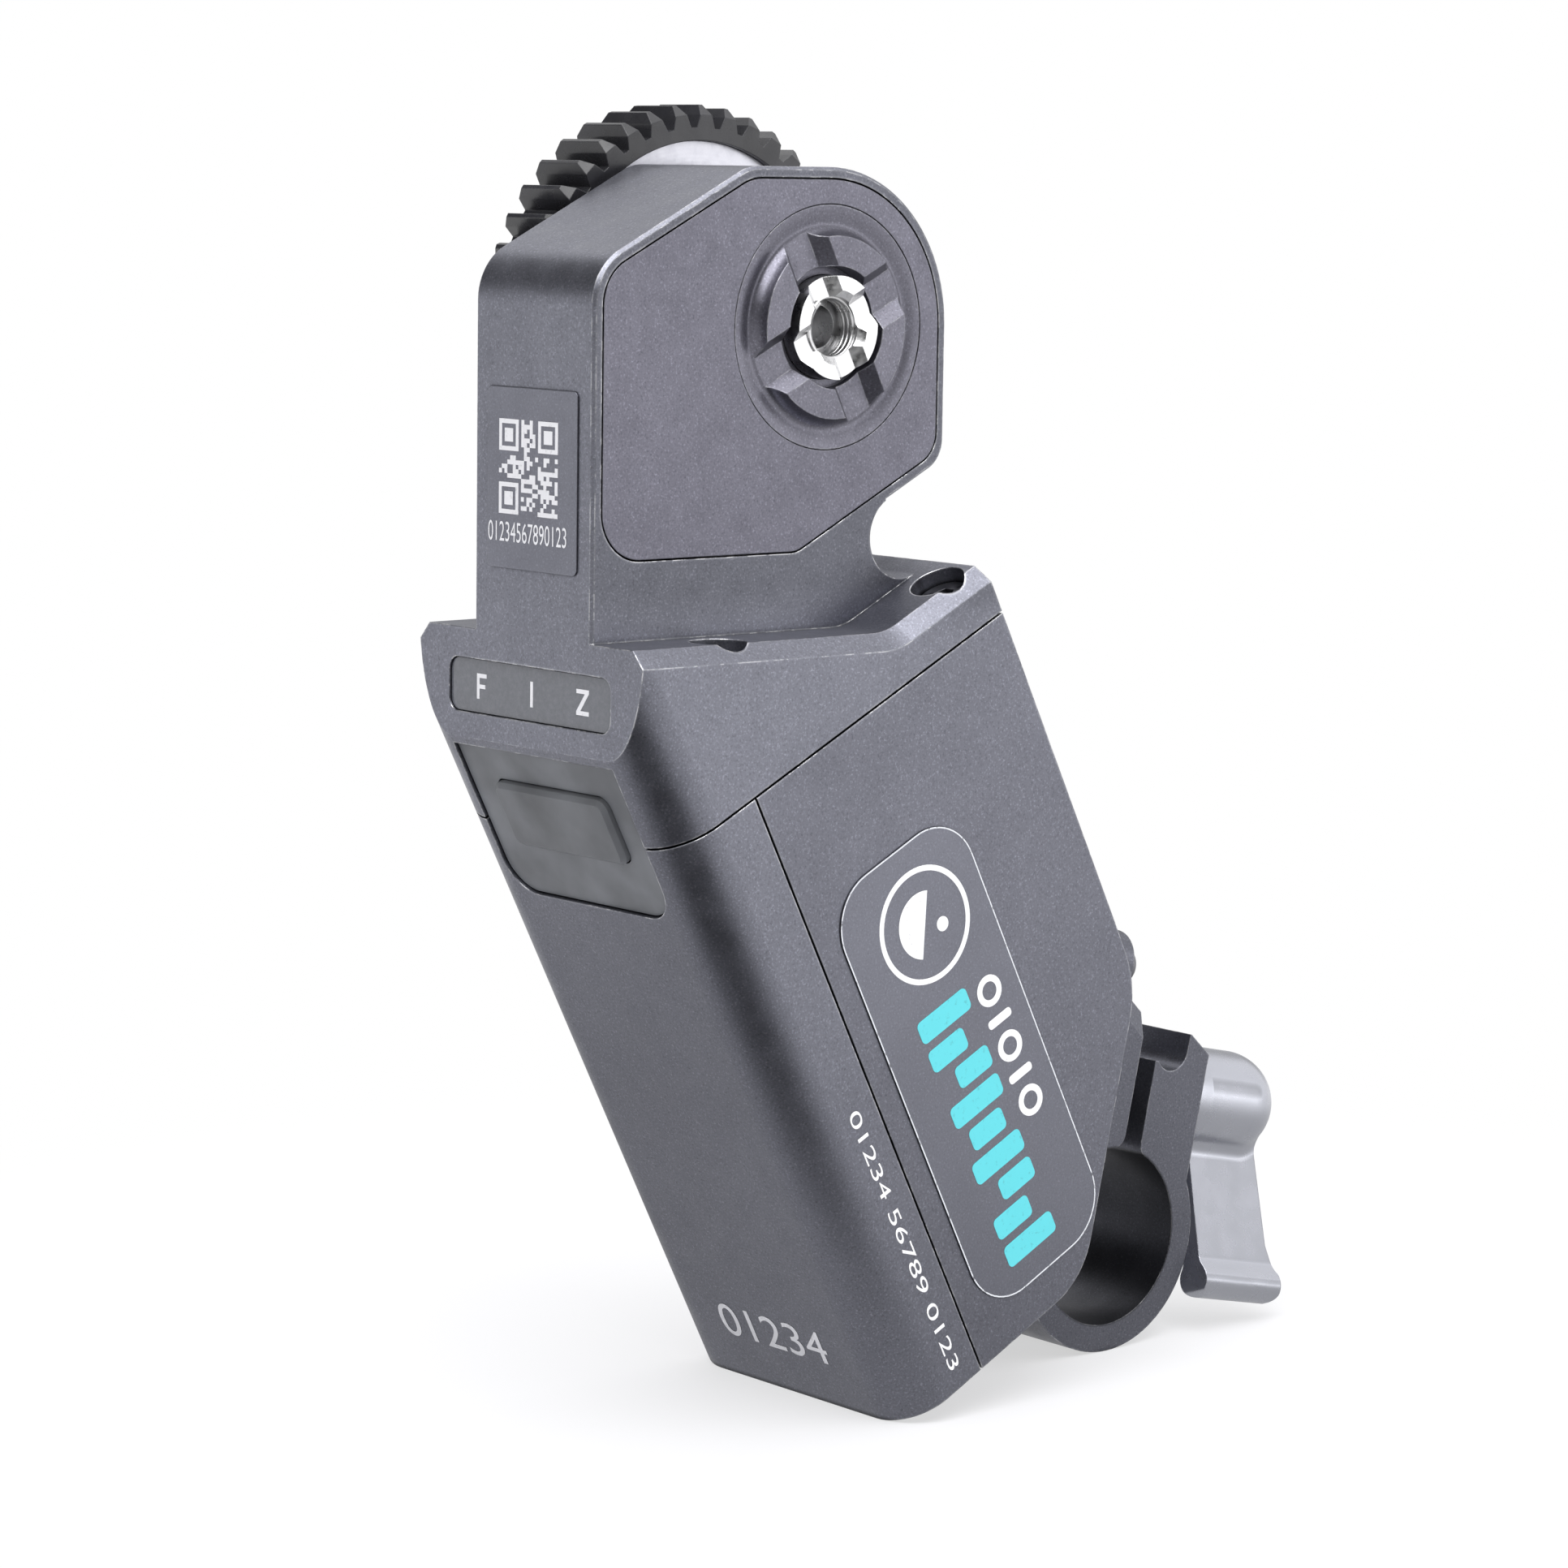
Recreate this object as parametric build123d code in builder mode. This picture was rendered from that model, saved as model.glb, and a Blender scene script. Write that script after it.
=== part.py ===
from build123d import *
import os
from math import acos, atan2, cos, degrees, hypot, pi, radians, sin, sqrt, tan

os.makedirs("parts", exist_ok=True)

# A motor unit that turns a lens ring. It clamps on a 15 mm rod and drives the lens by a
# 0.8 module gear. Millimetres. The origin is the centre of the rod bore: +X along the rod
# towards the cover side, +Z up, -Y towards the window and the button.

# ---------------------------------------------------------------- rod clamp
rod_bore_r = 7.5
ring_wall = 2.3
clamp_width = 11.5
clamp_lean = 12.4          # degrees, the clamp's own upright from the vertical
mount_offset = 10.3        # bore centre to the casing's mounting flat
slot_width = 2.0
slot_centre = 0.95         # the slot's middle, out from the bore centre
jaw_out = 8.2              # outer plane of the moving jaw, from the bore centre
jaw_top = 17.7
jaw_bevel = 2.5
slot_lip_height = 15.1     # top of the thin lip beside the slot
relief_r = 1.8             # half-round relief behind that lip
relief_height = 16.2
fixed_jaw_top = 18.9
jaw_side_bevel = 0.75      # bevels along both sides of the fixed jaw's top
jaw_side_drop = 1.75
slot_foot_r = 1.2          # where the slot opens into the bore
gusset_slope = 32.0        # degrees, the bracket's top, falling away from the casing
flange_thickness = 2.6
flange_half_width = 10.6
flange_bottom = 3.0        # ends of the screwed flange, along the clamp's upright
flange_top = 25.4
flange_corner_r = 2.5
bracket_screw_height = 22.6
bracket_screw_x = 8.4
bracket_head_r = 1.6
bracket_head_height = 1.3
bracket_screw_r = 0.9
bracket_screw_length = 6.5

# ---------------------------------------------------------------- clamp lever
lever_axis_height = 12.0
lever_hub_r = 4.5
lever_collar_r = 4.1
lever_hub_start = 8.7
lever_hub_end = 21.2
lever_arm_start = 11.1
lever_arm_end = 19.3       # the blade's outer edge at the hub
lever_arm_flare = 0.4      # and how much further out it is at the bulb
lever_arm_length = 15.95   # hub to the bulb's middle
lever_arm_thickness = 1.8
lever_bulb_r = 1.55
lever_bulb_end = 20.5
lever_bulb_blend = 1.8
lever_waist_r = 1.5          # where the blade runs into the hub
lever_tilt = 21.5          # degrees, the arm from the clamp's upright at rest
clamp_screw_r = 2.0
clamp_screw_reach = 7.5    # thread engagement in the fixed jaw
washer_r = 3.6
screw_clearance = 0.15

# ---------------------------------------------------------------- slanted case
case_slant = 27.0          # degrees from the vertical
case_width = 27.7
case_depth = 36.0
case_front_y = -29.0       # bottom front edge
case_front_r = 4.2
case_back_r = 1.5
case_bottom_r = 7.3        # rounding between the bottom and the mounting flat
case_heel_r = 9.0          # rounding between the mounting flat and the back
seam_height = 53.3         # lower shells, along the slanted axis
split_depth = 8.2          # joint between front and rear shells, from the front
seam_gap = 0.2
shell_wall = 2.0
upper_wall = 1.6
cap_height = 4.1           # seam to the slanted end face behind the head
shoulder_rise = 15.31      # seam's front edge to the level shoulder
shoulder_r = 5.0
shoulder_bevel = 1.3

# ---------------------------------------------------------------- head
brow_reach = 3.5           # the upright face, forward of the seam's front edge
hub_setback = 22.7         # the upright face to the output axis
hub_rise = 23.0            # shoulder to the output axis
head_left_x = -6.8
head_right_x = 7.6
head_r = 12.1
head_brow_z = 4.6          # where the sloping top meets the front, above the output axis
head_front_r = 4.5
head_crown_r = 4.0
head_back_r = 2.5
notch_setback = 1.9        # the case's back to the centre of the notch's round end
notch_r = 3.3
head_wall = 1.5
neck_root = 1.2            # how far the head runs down into the shoulder
cover_inset = 0.95
head_edge = 0.25           # chamfer round both sides of the head
cover_thickness = 1.5
cover_bottom_z = -16.95    # from the output axis
cover_corner_r = 3.6
cover_gap = 0.14
cavity_inset = 0.8        # from the cover's outline to the gear cavity

# ---------------------------------------------------------------- output
dish_r = 9.35
hub_clearance = 0.06
hub_rim_depth = 0.03
hub_web = 0.6              # floor of the pocket round the steel ring
dish_floor_r = 7.7         # the lowest line of the dish round the pads
dish_floor = 0.28          # and how far it lies under the head's face
pad_r = 6.95
pad_height = 0.95          # pads stand proud of the head
groove_floor = 0.2         # groove floors lie under the head's face
groove_reach = 8.1         # where they run out onto the dish
groove_width = 2.4
groove_slope = 1.0
groove_turn = 26.6         # degrees, the cross of grooves from the level
ring_pocket_r = 4.65
coupling_r = 3.95
coupling_proud = 1.15
coupling_bore_r = 2.35
coupling_notch = 1.5
coupling_slope = 0.8
coupling_notch_depth = 0.8
coupling_mouth = 0.5       # countersink at the ring's bore
shaft_r = 2.6
thread_r = 1.65
thread_depth = 5.2         # in each end of the output shaft
bearing_r = 5.0
bearing_width = 1.5
running_fit = 0.04
seat_fit = 0.02

# ---------------------------------------------------------------- focus gear
gear_module = 0.8
gear_teeth = 40
gear_turn = 7.35             # degrees, a tooth from the level
gear_width = 6.4
gear_gap = 1.15            # head's left face to the gear
gear_end_bevel = 0.8
gear_rim_r = 14.0
gear_boss_recess = 0.6
gear_screw_head_r = 5.2
gear_screw_head_height = 1.6
gear_screw_r = 1.25
gear_screw_length = 13.0

# ---------------------------------------------------------------- gear train
train_module = 0.5
pressure_angle = 25.0
addendum = 0.85            # in modules
dedendum = 1.2
backlash = 0.10
output_teeth = 38
small_teeth = 12
high_teeth = 28
low_teeth = 22
face_teeth = 24
layer_width = 2.5
layer_gap = 0.5
layer_left_x = -3.4
axle_r = 1.0
high_angle = -124.0        # degrees, from the output axis to the upper reduction gear
low_angle = -101.5
face_angle = -76.4
face_tooth_length = 1.8
face_tooth_root = 0.85
face_tooth_tip = 0.35
face_disc_thickness = 1.2
plate_thickness = 1.3
plate_margin = 3.0

# ---------------------------------------------------------------- motor and boards
motor_r = 10.4
motor_length = 30.0
motor_wall = 0.8
motor_headroom = 8.9       # seam to the motor's upper end
coil_margin = 3.2          # each end of the motor to its windings
motor_shaft_r = 0.9
rotor_r = 5.2
rotor_gap = 0.35
stator_gap = 0.2
motor_plate_thickness = 1.5
board_thickness = 1.2
board_gap = 0.2
socket_width = 9.0
socket_height = 3.4
socket_depth = 6.6
socket_wall = 0.35
socket_spacing = 8.0
socket_drop = 19.3         # seam to midway between the sockets
socket_tongue_inset = 1.2
chip_size = 5.0
chip_height = 1.0
chip_x = 7.5
chip_spacing = 8.0

# ---------------------------------------------------------------- window, panel, labels
window_width = 19.8
window_height = 4.05
window_drop = 4.4          # shoulder to the window's middle
window_corner_r = 1.0
window_sink = 0.2
window_thickness = 1.0
window_gap = 0.06
light_board_height = 6.0
panel_width = 19.5
panel_below = 6.4          # the panel below and above the seam
panel_above = 6.9
panel_thickness = 0.8
panel_sink = 0.3
panel_gap = 0.1
panel_top_r = 1.2
panel_bottom_r = 2.8
button_width = 13.6
button_height = 5.7
button_rise = 1.1          # seam to the button's middle
button_x = 0.3
button_proud = 0.7
button_corner_r = 0.9
button_flange = 0.7
button_gap = 0.12
button_travel = 0.4
switch_size = 4.5
switch_thickness = 1.6
plunger_r = 1.2
serial_label_width = 11.0
serial_label_height = 13.6
serial_label_rise = 11.7   # shoulder to the label's middle
label_thickness = 0.12
side_label_bottom = 3.3
side_label_drop = 10.9     # seam to the label's upper edge
side_label_front = 10.5
side_label_back = 25.05
side_label_r = 4.4

# ---------------------------------------------------------------- housing screws
screw_inset = 2.95         # the case's sides to the screws
ledge_screw_setback = 9.4  # the upright face to the ledge screws
end_screw_setback = 2.7    # the case's back to the end screws
screw_head_r = 2.0
screw_head_height = 1.3
screw_sink = 1.2
screw_r = 1.0
ledge_screw_length = 13.5
end_screw_length = 9.0
boss_r = 2.2

# ---------------------------------------------------------------- worked-out places
slant_back = (0, cos(radians(case_slant)), sin(radians(case_slant)))
slant_up = (0, -sin(radians(case_slant)), cos(radians(case_slant)))
lean_out = (0, cos(radians(clamp_lean)), -sin(radians(clamp_lean)))
lean_up = (0, sin(radians(clamp_lean)), cos(radians(clamp_lean)))
arm_down = (
    sin(radians(lever_tilt)),
    -cos(radians(lever_tilt)) * lean_up[1],
    -cos(radians(lever_tilt)) * lean_up[2],
)
ring_outer_r = rod_bore_r + ring_wall
case_bottom_z = -ring_outer_r                  # the ring and the case's edge stand level
end_face_height = seam_height + cap_height
seam_front_y = case_front_y + seam_height * slant_up[1]
seam_front_z = case_bottom_z + seam_height * slant_up[2]
shoulder_z = seam_front_z + shoulder_rise
front_y = seam_front_y - brow_reach
hub_y = front_y + hub_setback
hub_z = shoulder_z + hub_rise
notch_depth = case_depth - notch_setback
motor_top_height = seam_height - motor_headroom
socket_middle = seam_height - socket_drop
window_z = shoulder_z - window_drop
panel_bottom = seam_height - panel_below
panel_top = seam_height + panel_above
button_middle = seam_height + button_rise
serial_label_z = shoulder_z + serial_label_rise
side_label_top = seam_height - side_label_drop
screw_x = case_width / 2 - screw_inset
ledge_screw_y = front_y + ledge_screw_setback
end_screw_depth = case_depth - end_screw_setback
case_origin = (0, case_front_y, case_bottom_z)
case_half = case_width / 2
case_side = Plane(origin=case_origin, x_dir=slant_back, z_dir=(1, 0, 0))
case_section = Plane(origin=case_origin, x_dir=(1, 0, 0), z_dir=slant_up)
case_front = Plane(origin=case_origin, x_dir=(-1, 0, 0), z_dir=slant_back)
clamp_side = Plane(origin=(0, 0, 0), x_dir=lean_out, z_dir=(1, 0, 0))
clamp_face = Plane(origin=(0, 0, 0), x_dir=(-1, 0, 0), z_dir=lean_out)

# the bore centre in the case's own depth and height
bore_depth = -case_front_y * slant_back[1] - case_bottom_z * slant_back[2]
bore_height = -case_front_y * slant_up[1] - case_bottom_z * slant_up[2]
flat_tilt = radians(case_slant + clamp_lean)
bottom_length = bore_depth - (bore_height * sin(flat_tilt) + mount_offset) / cos(flat_tilt)
heel_height = (
    (case_depth - bore_depth) * cos(flat_tilt) + mount_offset
) / sin(flat_tilt) + bore_height

# where the slanted end face meets the level shoulder
slope_rise = tan(radians(case_slant))
shoulder_y = (
    case_front_y
    + end_face_height * slant_up[1]
    + (shoulder_z - case_bottom_z - end_face_height * slant_up[2]) / slope_rise
)

head_width = head_right_x - head_left_x
head_middle_x = (head_left_x + head_right_x) / 2
cavity_left_x = head_left_x + head_wall
cover_inner_x = head_right_x - cover_thickness
plate_left_x = cavity_left_x
plate_right_x = cover_inner_x - plate_thickness
output_place = (hub_y, hub_z)
layer_right_x = layer_left_x + layer_width + layer_gap


def step(place, distance, angle):
    """A point at a distance and angle from another, in Y and Z."""
    return (
        place[0] + distance * cos(radians(angle)),
        place[1] + distance * sin(radians(angle)),
    )


def mesh_turn(place, turn, teeth, other_place, other_teeth):
    """The other gear's turn that puts its teeth in mesh with this one's."""
    line = degrees(atan2(other_place[1] - place[1], other_place[0] - place[0]))
    offset = (turn - line) * teeth / 360
    return line + 180 + 360 / other_teeth * (0.5 - offset)


high_place = step(output_place, train_module * (output_teeth + small_teeth) / 2, high_angle)
low_place = step(high_place, train_module * (high_teeth + small_teeth) / 2, low_angle)
face_place = step(low_place, train_module * (low_teeth + small_teeth) / 2, face_angle)

output_turn = 0.0
high_small_turn = mesh_turn(output_place, output_turn, output_teeth, high_place, small_teeth)
low_small_turn = mesh_turn(high_place, high_small_turn, high_teeth, low_place, small_teeth)
face_small_turn = mesh_turn(low_place, low_small_turn, low_teeth, face_place, small_teeth)

face_pitch_r = train_module * face_teeth / 2
pinion_pitch_r = train_module * small_teeth / 2
face_offset = (face_place[0] - case_front_y, face_place[1] - case_bottom_z)
motor_depth = face_offset[0] * slant_back[1] + face_offset[1] * slant_back[2]
face_height = face_offset[0] * slant_up[1] + face_offset[1] * slant_up[2]
pinion_top = face_height - face_pitch_r + face_tooth_length / 2
pinion_bottom = face_height - face_pitch_r - face_tooth_length / 2
motor_bottom = motor_top_height - motor_length
motor_section = Plane(
    origin=Vector(*case_origin) + Vector(*slant_back) * motor_depth,
    x_dir=(1, 0, 0),
    z_dir=slant_up,
)


# ---------------------------------------------------------------- shared outlines
def case_outline(inset=0.0):
    """The case's section: round front corners, tighter back corners."""
    with BuildSketch(mode=Mode.PRIVATE) as outline:
        with Locations((0, inset)):
            Rectangle(
                case_width - 2 * inset,
                case_depth - 2 * inset,
                align=(Align.CENTER, Align.MIN),
            )
        rows = outline.vertices().group_by(Axis.Y)
        fillet(rows[0], max(case_front_r - inset, 0.4))
        fillet(rows[-1], max(case_back_r - inset, 0.4))
    add(outline.sketch)


def case_profile(inset, low, high):
    """The lower case seen from the side, with its mounting flat and rounded heel."""
    turn = flat_tilt / 2
    shift = inset / tan((pi / 2 + flat_tilt) / 2)
    heel_shift = inset * tan(turn)
    with BuildSketch(mode=Mode.PRIVATE) as profile:
        with BuildLine():
            Polyline(
                (low, inset),
                (bottom_length - shift, inset),
                (case_depth - inset, heel_height + heel_shift),
                (case_depth - inset, high),
                (low, high),
                close=True,
            )
        make_face()
        corners = profile.vertices().sort_by(Axis.X)
        bottom = corners.filter_by(lambda v: abs(v.Y - inset) < 0.01).sort_by(Axis.X)[-1]
        fillet(bottom, max(case_bottom_r - inset, 1.0))
        backs = profile.vertices().filter_by(lambda v: abs(v.X - case_depth + inset) < 0.01)
        fillet(backs.sort_by(Axis.Y)[0], max(case_heel_r - inset, 1.0))
    add(profile.sketch)


def case_point(depth, height):
    """A place in the case's depth and height, as Y and Z."""
    return (
        case_front_y + depth * slant_back[1] + height * slant_up[1],
        case_bottom_z + depth * slant_back[2] + height * slant_up[2],
    )


def head_outline():
    """The head in Y and Z, down into the shoulder it grows from."""
    crown_y = (head_r - head_brow_z) / slope_rise
    jaw_y, jaw_z = case_point(notch_depth, end_face_height + 2 * notch_r)
    back_y = hub_y + head_r
    back_z = jaw_z + (back_y - jaw_y) * slope_rise
    with BuildSketch(mode=Mode.PRIVATE) as outline:
        with BuildLine():
            Polyline(
                (hub_y, hub_z + head_r),
                (front_y + crown_y, hub_z + head_r),
                (front_y, hub_z + head_brow_z),
                (front_y, shoulder_z - neck_root),
                (shoulder_y, shoulder_z - neck_root),
                case_point(notch_depth, end_face_height - neck_root),
                (jaw_y, jaw_z),
                (back_y, back_z),
                (back_y, hub_z),
            )
            RadiusArc((back_y, hub_z), (hub_y, hub_z + head_r), -head_r)
        make_face()
        chin = outline.vertices().filter_by(lambda v: abs(v.Y - back_z) < 0.01)
        fillet(chin, head_back_r)
        brow = outline.vertices().filter_by(
            lambda v: abs(v.X - front_y) < 0.01 and v.Y > hub_z
        )
        fillet(brow, head_front_r)
        crown = outline.vertices().filter_by(
            lambda v: abs(v.X - front_y - crown_y) < 0.01 and v.Y > hub_z
        )
        fillet(crown, head_crown_r)
    add(outline.sketch)


def notch_outline(grow=0.0):
    """The slot with a round end that parts the head from the case's end face."""
    with BuildSketch(mode=Mode.PRIVATE) as notch:
        with Locations((notch_depth, end_face_height + notch_r)):
            Circle(notch_r + grow)
        with Locations((notch_depth, end_face_height - grow)):
            Rectangle(case_depth, 2 * (notch_r + grow), align=(Align.MIN, Align.MIN))
    add(notch.sketch)


def cover_outline(grow=0.0):
    """The flush plate in the head's cover side."""
    r = head_r - cover_inset
    front = front_y + cover_inset
    slant = radians(case_slant)
    brow_z = hub_z + head_brow_z - cover_inset * (1 - sin(slant)) / cos(slant)
    crown_y = front + (hub_z + r - brow_z) / slope_rise
    # the back slope runs parallel to the notch above it
    slope_y, slope_z = case_point(0, end_face_height + 2 * notch_r + cover_inset)
    back_z = slope_z + (hub_y + r - slope_y) * slope_rise
    bottom_z = hub_z + cover_bottom_z
    bottom_y = slope_y + (bottom_z - slope_z) / slope_rise
    with BuildSketch(mode=Mode.PRIVATE) as outline:
        with BuildLine():
            Polyline(
                (hub_y, hub_z + r),
                (crown_y, hub_z + r),
                (front, brow_z),
                (front, bottom_z),
                (bottom_y, bottom_z),
                (hub_y + r, back_z),
                (hub_y + r, hub_z),
            )
            RadiusArc((hub_y + r, hub_z), (hub_y, hub_z + r), -r)
        make_face()
        fronts = outline.vertices().filter_by(lambda v: abs(v.X - front) < 0.01)
        fillet(fronts, cover_corner_r)
        slopes = outline.vertices().filter_by(
            lambda v: abs(v.X - bottom_y) < 0.01 or abs(v.Y - back_z) < 0.01
        )
        fillet(slopes, head_back_r)
        crown = outline.vertices().filter_by(
            lambda v: abs(v.X - crown_y) < 0.01 and v.Y > hub_z
        )
        fillet(crown, head_crown_r)
        if grow:
            offset(amount=grow, kind=Kind.INTERSECTION)
    add(outline.sketch)


def gear_outline(place, teeth, module, turn, bore, high=addendum, low=dedendum):
    """A spur gear with involute flanks and a named backlash."""
    pitch_r = module * teeth / 2
    base_r = pitch_r * cos(radians(pressure_angle))
    root_r, tip_r = pitch_r - low * module, pitch_r + high * module

    def involute(radius):
        ratio = min(1.0, base_r / radius)
        return sqrt(1 / ratio**2 - 1) - acos(ratio)

    def half_width(radius):
        half = pi / (2 * teeth) - backlash / (2 * pitch_r)
        return half + involute(pitch_r) - involute(radius)

    radii = [root_r, max(base_r, root_r + 0.01), pitch_r, tip_r]
    points = []
    for tooth in range(teeth):
        middle = radians(turn) + 2 * pi * tooth / teeth
        rising = [(r, middle - half_width(r)) for r in radii]
        falling = [(r, middle + half_width(r)) for r in reversed(radii)]
        for r, angle in rising + falling:
            points.append((place[0] + r * cos(angle), place[1] + r * sin(angle)))
    with BuildSketch(mode=Mode.PRIVATE) as outline:
        with BuildLine():
            Polyline(*points, close=True)
        make_face()
        with Locations(place):
            Circle(bore, mode=Mode.SUBTRACT)
    add(outline.sketch)


def save(builder, name):
    builder.part.label = name
    export_step(builder.part, f"parts/{name}.step")


# ================================================================ casing
output_axis = Axis((0, hub_y, hub_z), (1, 0, 0))
axial = Plane(origin=(0, hub_y, hub_z), x_dir=(1, 0, 0), z_dir=(0, -1, 0))
aperture_width = button_width + 2 * (button_flange + button_gap)
aperture_height = button_height + 2 * (button_flange + button_gap)
panel_middle = (panel_bottom + panel_top) / 2
post_r = 1.2
post_x = 6.9
board_depth = 4.7                      # front of the button's board
ledge_floor_z = shoulder_z - screw_sink - screw_head_height
end_floor = end_face_height - screw_sink - screw_head_height


def panel_outline(grow=0.0):
    with BuildSketch(mode=Mode.PRIVATE) as outline:
        with Locations((0, panel_middle)):
            Rectangle(panel_width, panel_top - panel_bottom)
        rows = outline.vertices().group_by(Axis.Y)
        fillet(rows[0], panel_bottom_r)
        fillet(rows[-1], panel_top_r)
        if grow:
            offset(amount=grow)
    add(outline.sketch)


def button_openings(wall):
    """Cut the panel's pocket and the button's way through a front wall."""
    with BuildSketch(case_front.offset(-wall)) as pocket:
        panel_outline(panel_gap)
    extrude(
        pocket.sketch, amount=wall + panel_sink + panel_thickness, mode=Mode.SUBTRACT
    )
    with BuildSketch(case_front) as aperture:
        with Locations((-button_x, button_middle)):
            Rectangle(aperture_width, aperture_height)
    extrude(aperture.sketch, amount=wall + 0.5, mode=Mode.SUBTRACT)


def board_posts(height):
    """Two posts that carry the button's board."""
    root_depth = panel_sink + panel_thickness + 0.1
    with BuildSketch(case_front.offset(root_depth)) as posts:
        with Locations((-post_x, height), (post_x, height)):
            Circle(post_r)
    extrude(posts.sketch, amount=board_depth - root_depth)


lower_post_height = button_middle - aperture_height / 2 - post_r - 0.3
upper_post_height = button_middle + aperture_height / 2 + post_r + 0.3

with BuildPart() as upper_housing:
    with BuildSketch(case_section.offset(seam_height + seam_gap)):
        case_outline()
    extrude(amount=case_depth)
    with BuildSketch(Plane.YZ.offset(-case_half - 1)) as above_shoulder:
        with BuildLine():
            Polyline(
                (front_y - case_depth, shoulder_z),
                (shoulder_y, shoulder_z),
                (shoulder_y + case_depth, shoulder_z + case_depth * slope_rise),
                (shoulder_y + case_depth, shoulder_z + 2 * case_depth),
                (front_y - case_depth, shoulder_z + 2 * case_depth),
                close=True,
            )
        make_face()
        bend = above_shoulder.vertices().filter_by(
            lambda v: abs(v.X - shoulder_y) < 0.01 and v.Y < shoulder_z + 1
        )
        fillet(bend, shoulder_r)
    extrude(amount=case_width + 2, mode=Mode.SUBTRACT)
    with BuildSketch(Plane.YZ.offset(-case_half - 1)):
        with Locations((front_y, shoulder_z)):
            Rectangle(case_depth, 2 * case_depth, align=(Align.MAX, Align.CENTER))
    extrude(amount=case_width + 2, mode=Mode.SUBTRACT)
    rims = upper_housing.edges().filter_by(
        lambda e: abs(abs(e.center().X) - case_half) < 0.01
        and case_side.to_local_coords(e.center()).Y > seam_height + 2
        and e.center().Y > front_y + 2
        and case_side.to_local_coords(e.center()).X < case_depth - case_back_r - 0.5
    )
    chamfer(rims, shoulder_bevel)

    # hollow under the shoulder
    inner_z = shoulder_z - upper_wall
    inner_bend = shoulder_y + upper_wall * tan(radians(case_slant / 2))
    inner_front = case_point(upper_wall, seam_height - 1)
    brow = front_y + upper_wall
    with BuildSketch(Plane.YZ.offset(-case_half + upper_wall)):
        with BuildLine():
            Polyline(
                inner_front,
                case_point(case_depth - upper_wall, seam_height - 1),
                case_point(case_depth - upper_wall, end_face_height - upper_wall),
                (inner_bend, inner_z),
                (brow, inner_z),
                (brow, inner_front[1] + (inner_front[0] - brow) / slope_rise),
                close=True,
            )
        make_face()
    extrude(amount=case_width - 2 * upper_wall, mode=Mode.SUBTRACT)

    # head, with the round-ended notch behind it
    with BuildPart(mode=Mode.PRIVATE) as head:
        with BuildSketch(Plane.YZ.offset(head_left_x)):
            head_outline()
        extrude(amount=head_width)
        sides = head.faces().sort_by(Axis.X)
        chamfer(sides[0].edges() + sides[-1].edges(), head_edge)
    add(head.part)
    with BuildSketch(case_side.offset(head_left_x - 1)):
        notch_outline()
    extrude(amount=head_width + 2, mode=Mode.SUBTRACT)

    # gear cavity, neck, cover seat and the left dish
    with BuildSketch(Plane.YZ.offset(cavity_left_x)):
        cover_outline(-cavity_inset)
    extrude(amount=head_width, mode=Mode.SUBTRACT)
    with BuildSketch(Plane.YZ.offset(cover_inner_x)):
        cover_outline(cover_gap)
    extrude(amount=cover_thickness + 1, mode=Mode.SUBTRACT)
    neck_back_y = case_point(notch_depth - notch_r, end_face_height + notch_r)[0] - head_wall
    with BuildSketch(Plane.YZ.offset(cavity_left_x)):
        with Locations((front_y + upper_wall, inner_z - 1)):
            Rectangle(
                neck_back_y - front_y - upper_wall,
                hub_z + cover_bottom_z - inner_z + 3,
                align=(Align.MIN, Align.MIN),
            )
    extrude(amount=cover_inner_x - cavity_left_x, mode=Mode.SUBTRACT)
    with BuildSketch(Plane.YZ.offset(head_left_x - 1)):
        with Locations(output_place):
            Circle(dish_r)
    extrude(amount=head_wall + 2, mode=Mode.SUBTRACT)

    # screw bosses
    with BuildSketch(Plane.XY.offset(ledge_floor_z - 3)):
        with Locations((-screw_x, ledge_screw_y), (screw_x, ledge_screw_y)):
            Circle(screw_head_r + 0.7)
    extrude(amount=3 + screw_head_height)
    with BuildSketch(case_section.offset(seam_height + seam_gap)):
        with Locations((-screw_x, end_screw_depth), (screw_x, end_screw_depth)):
            Circle(screw_head_r + 0.6)
    extrude(amount=end_face_height - upper_wall - seam_height - seam_gap + 0.5)
    with BuildSketch(Plane.XY.offset(ledge_floor_z)):
        with Locations((-screw_x, ledge_screw_y), (screw_x, ledge_screw_y)):
            Circle(screw_head_r + 0.2)
    extrude(amount=10, mode=Mode.SUBTRACT)
    with BuildSketch(Plane.XY.offset(ledge_floor_z - 10)):
        with Locations((-screw_x, ledge_screw_y), (screw_x, ledge_screw_y)):
            Circle(screw_r + seat_fit)
    extrude(amount=12, mode=Mode.SUBTRACT)
    with BuildSketch(case_section.offset(end_floor)):
        with Locations((-screw_x, end_screw_depth), (screw_x, end_screw_depth)):
            Circle(screw_head_r + 0.2)
    extrude(amount=10, mode=Mode.SUBTRACT)
    with BuildSketch(case_section.offset(seam_height)):
        with Locations((-screw_x, end_screw_depth), (screw_x, end_screw_depth)):
            Circle(screw_r + seat_fit)
    extrude(amount=6, mode=Mode.SUBTRACT)

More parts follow.
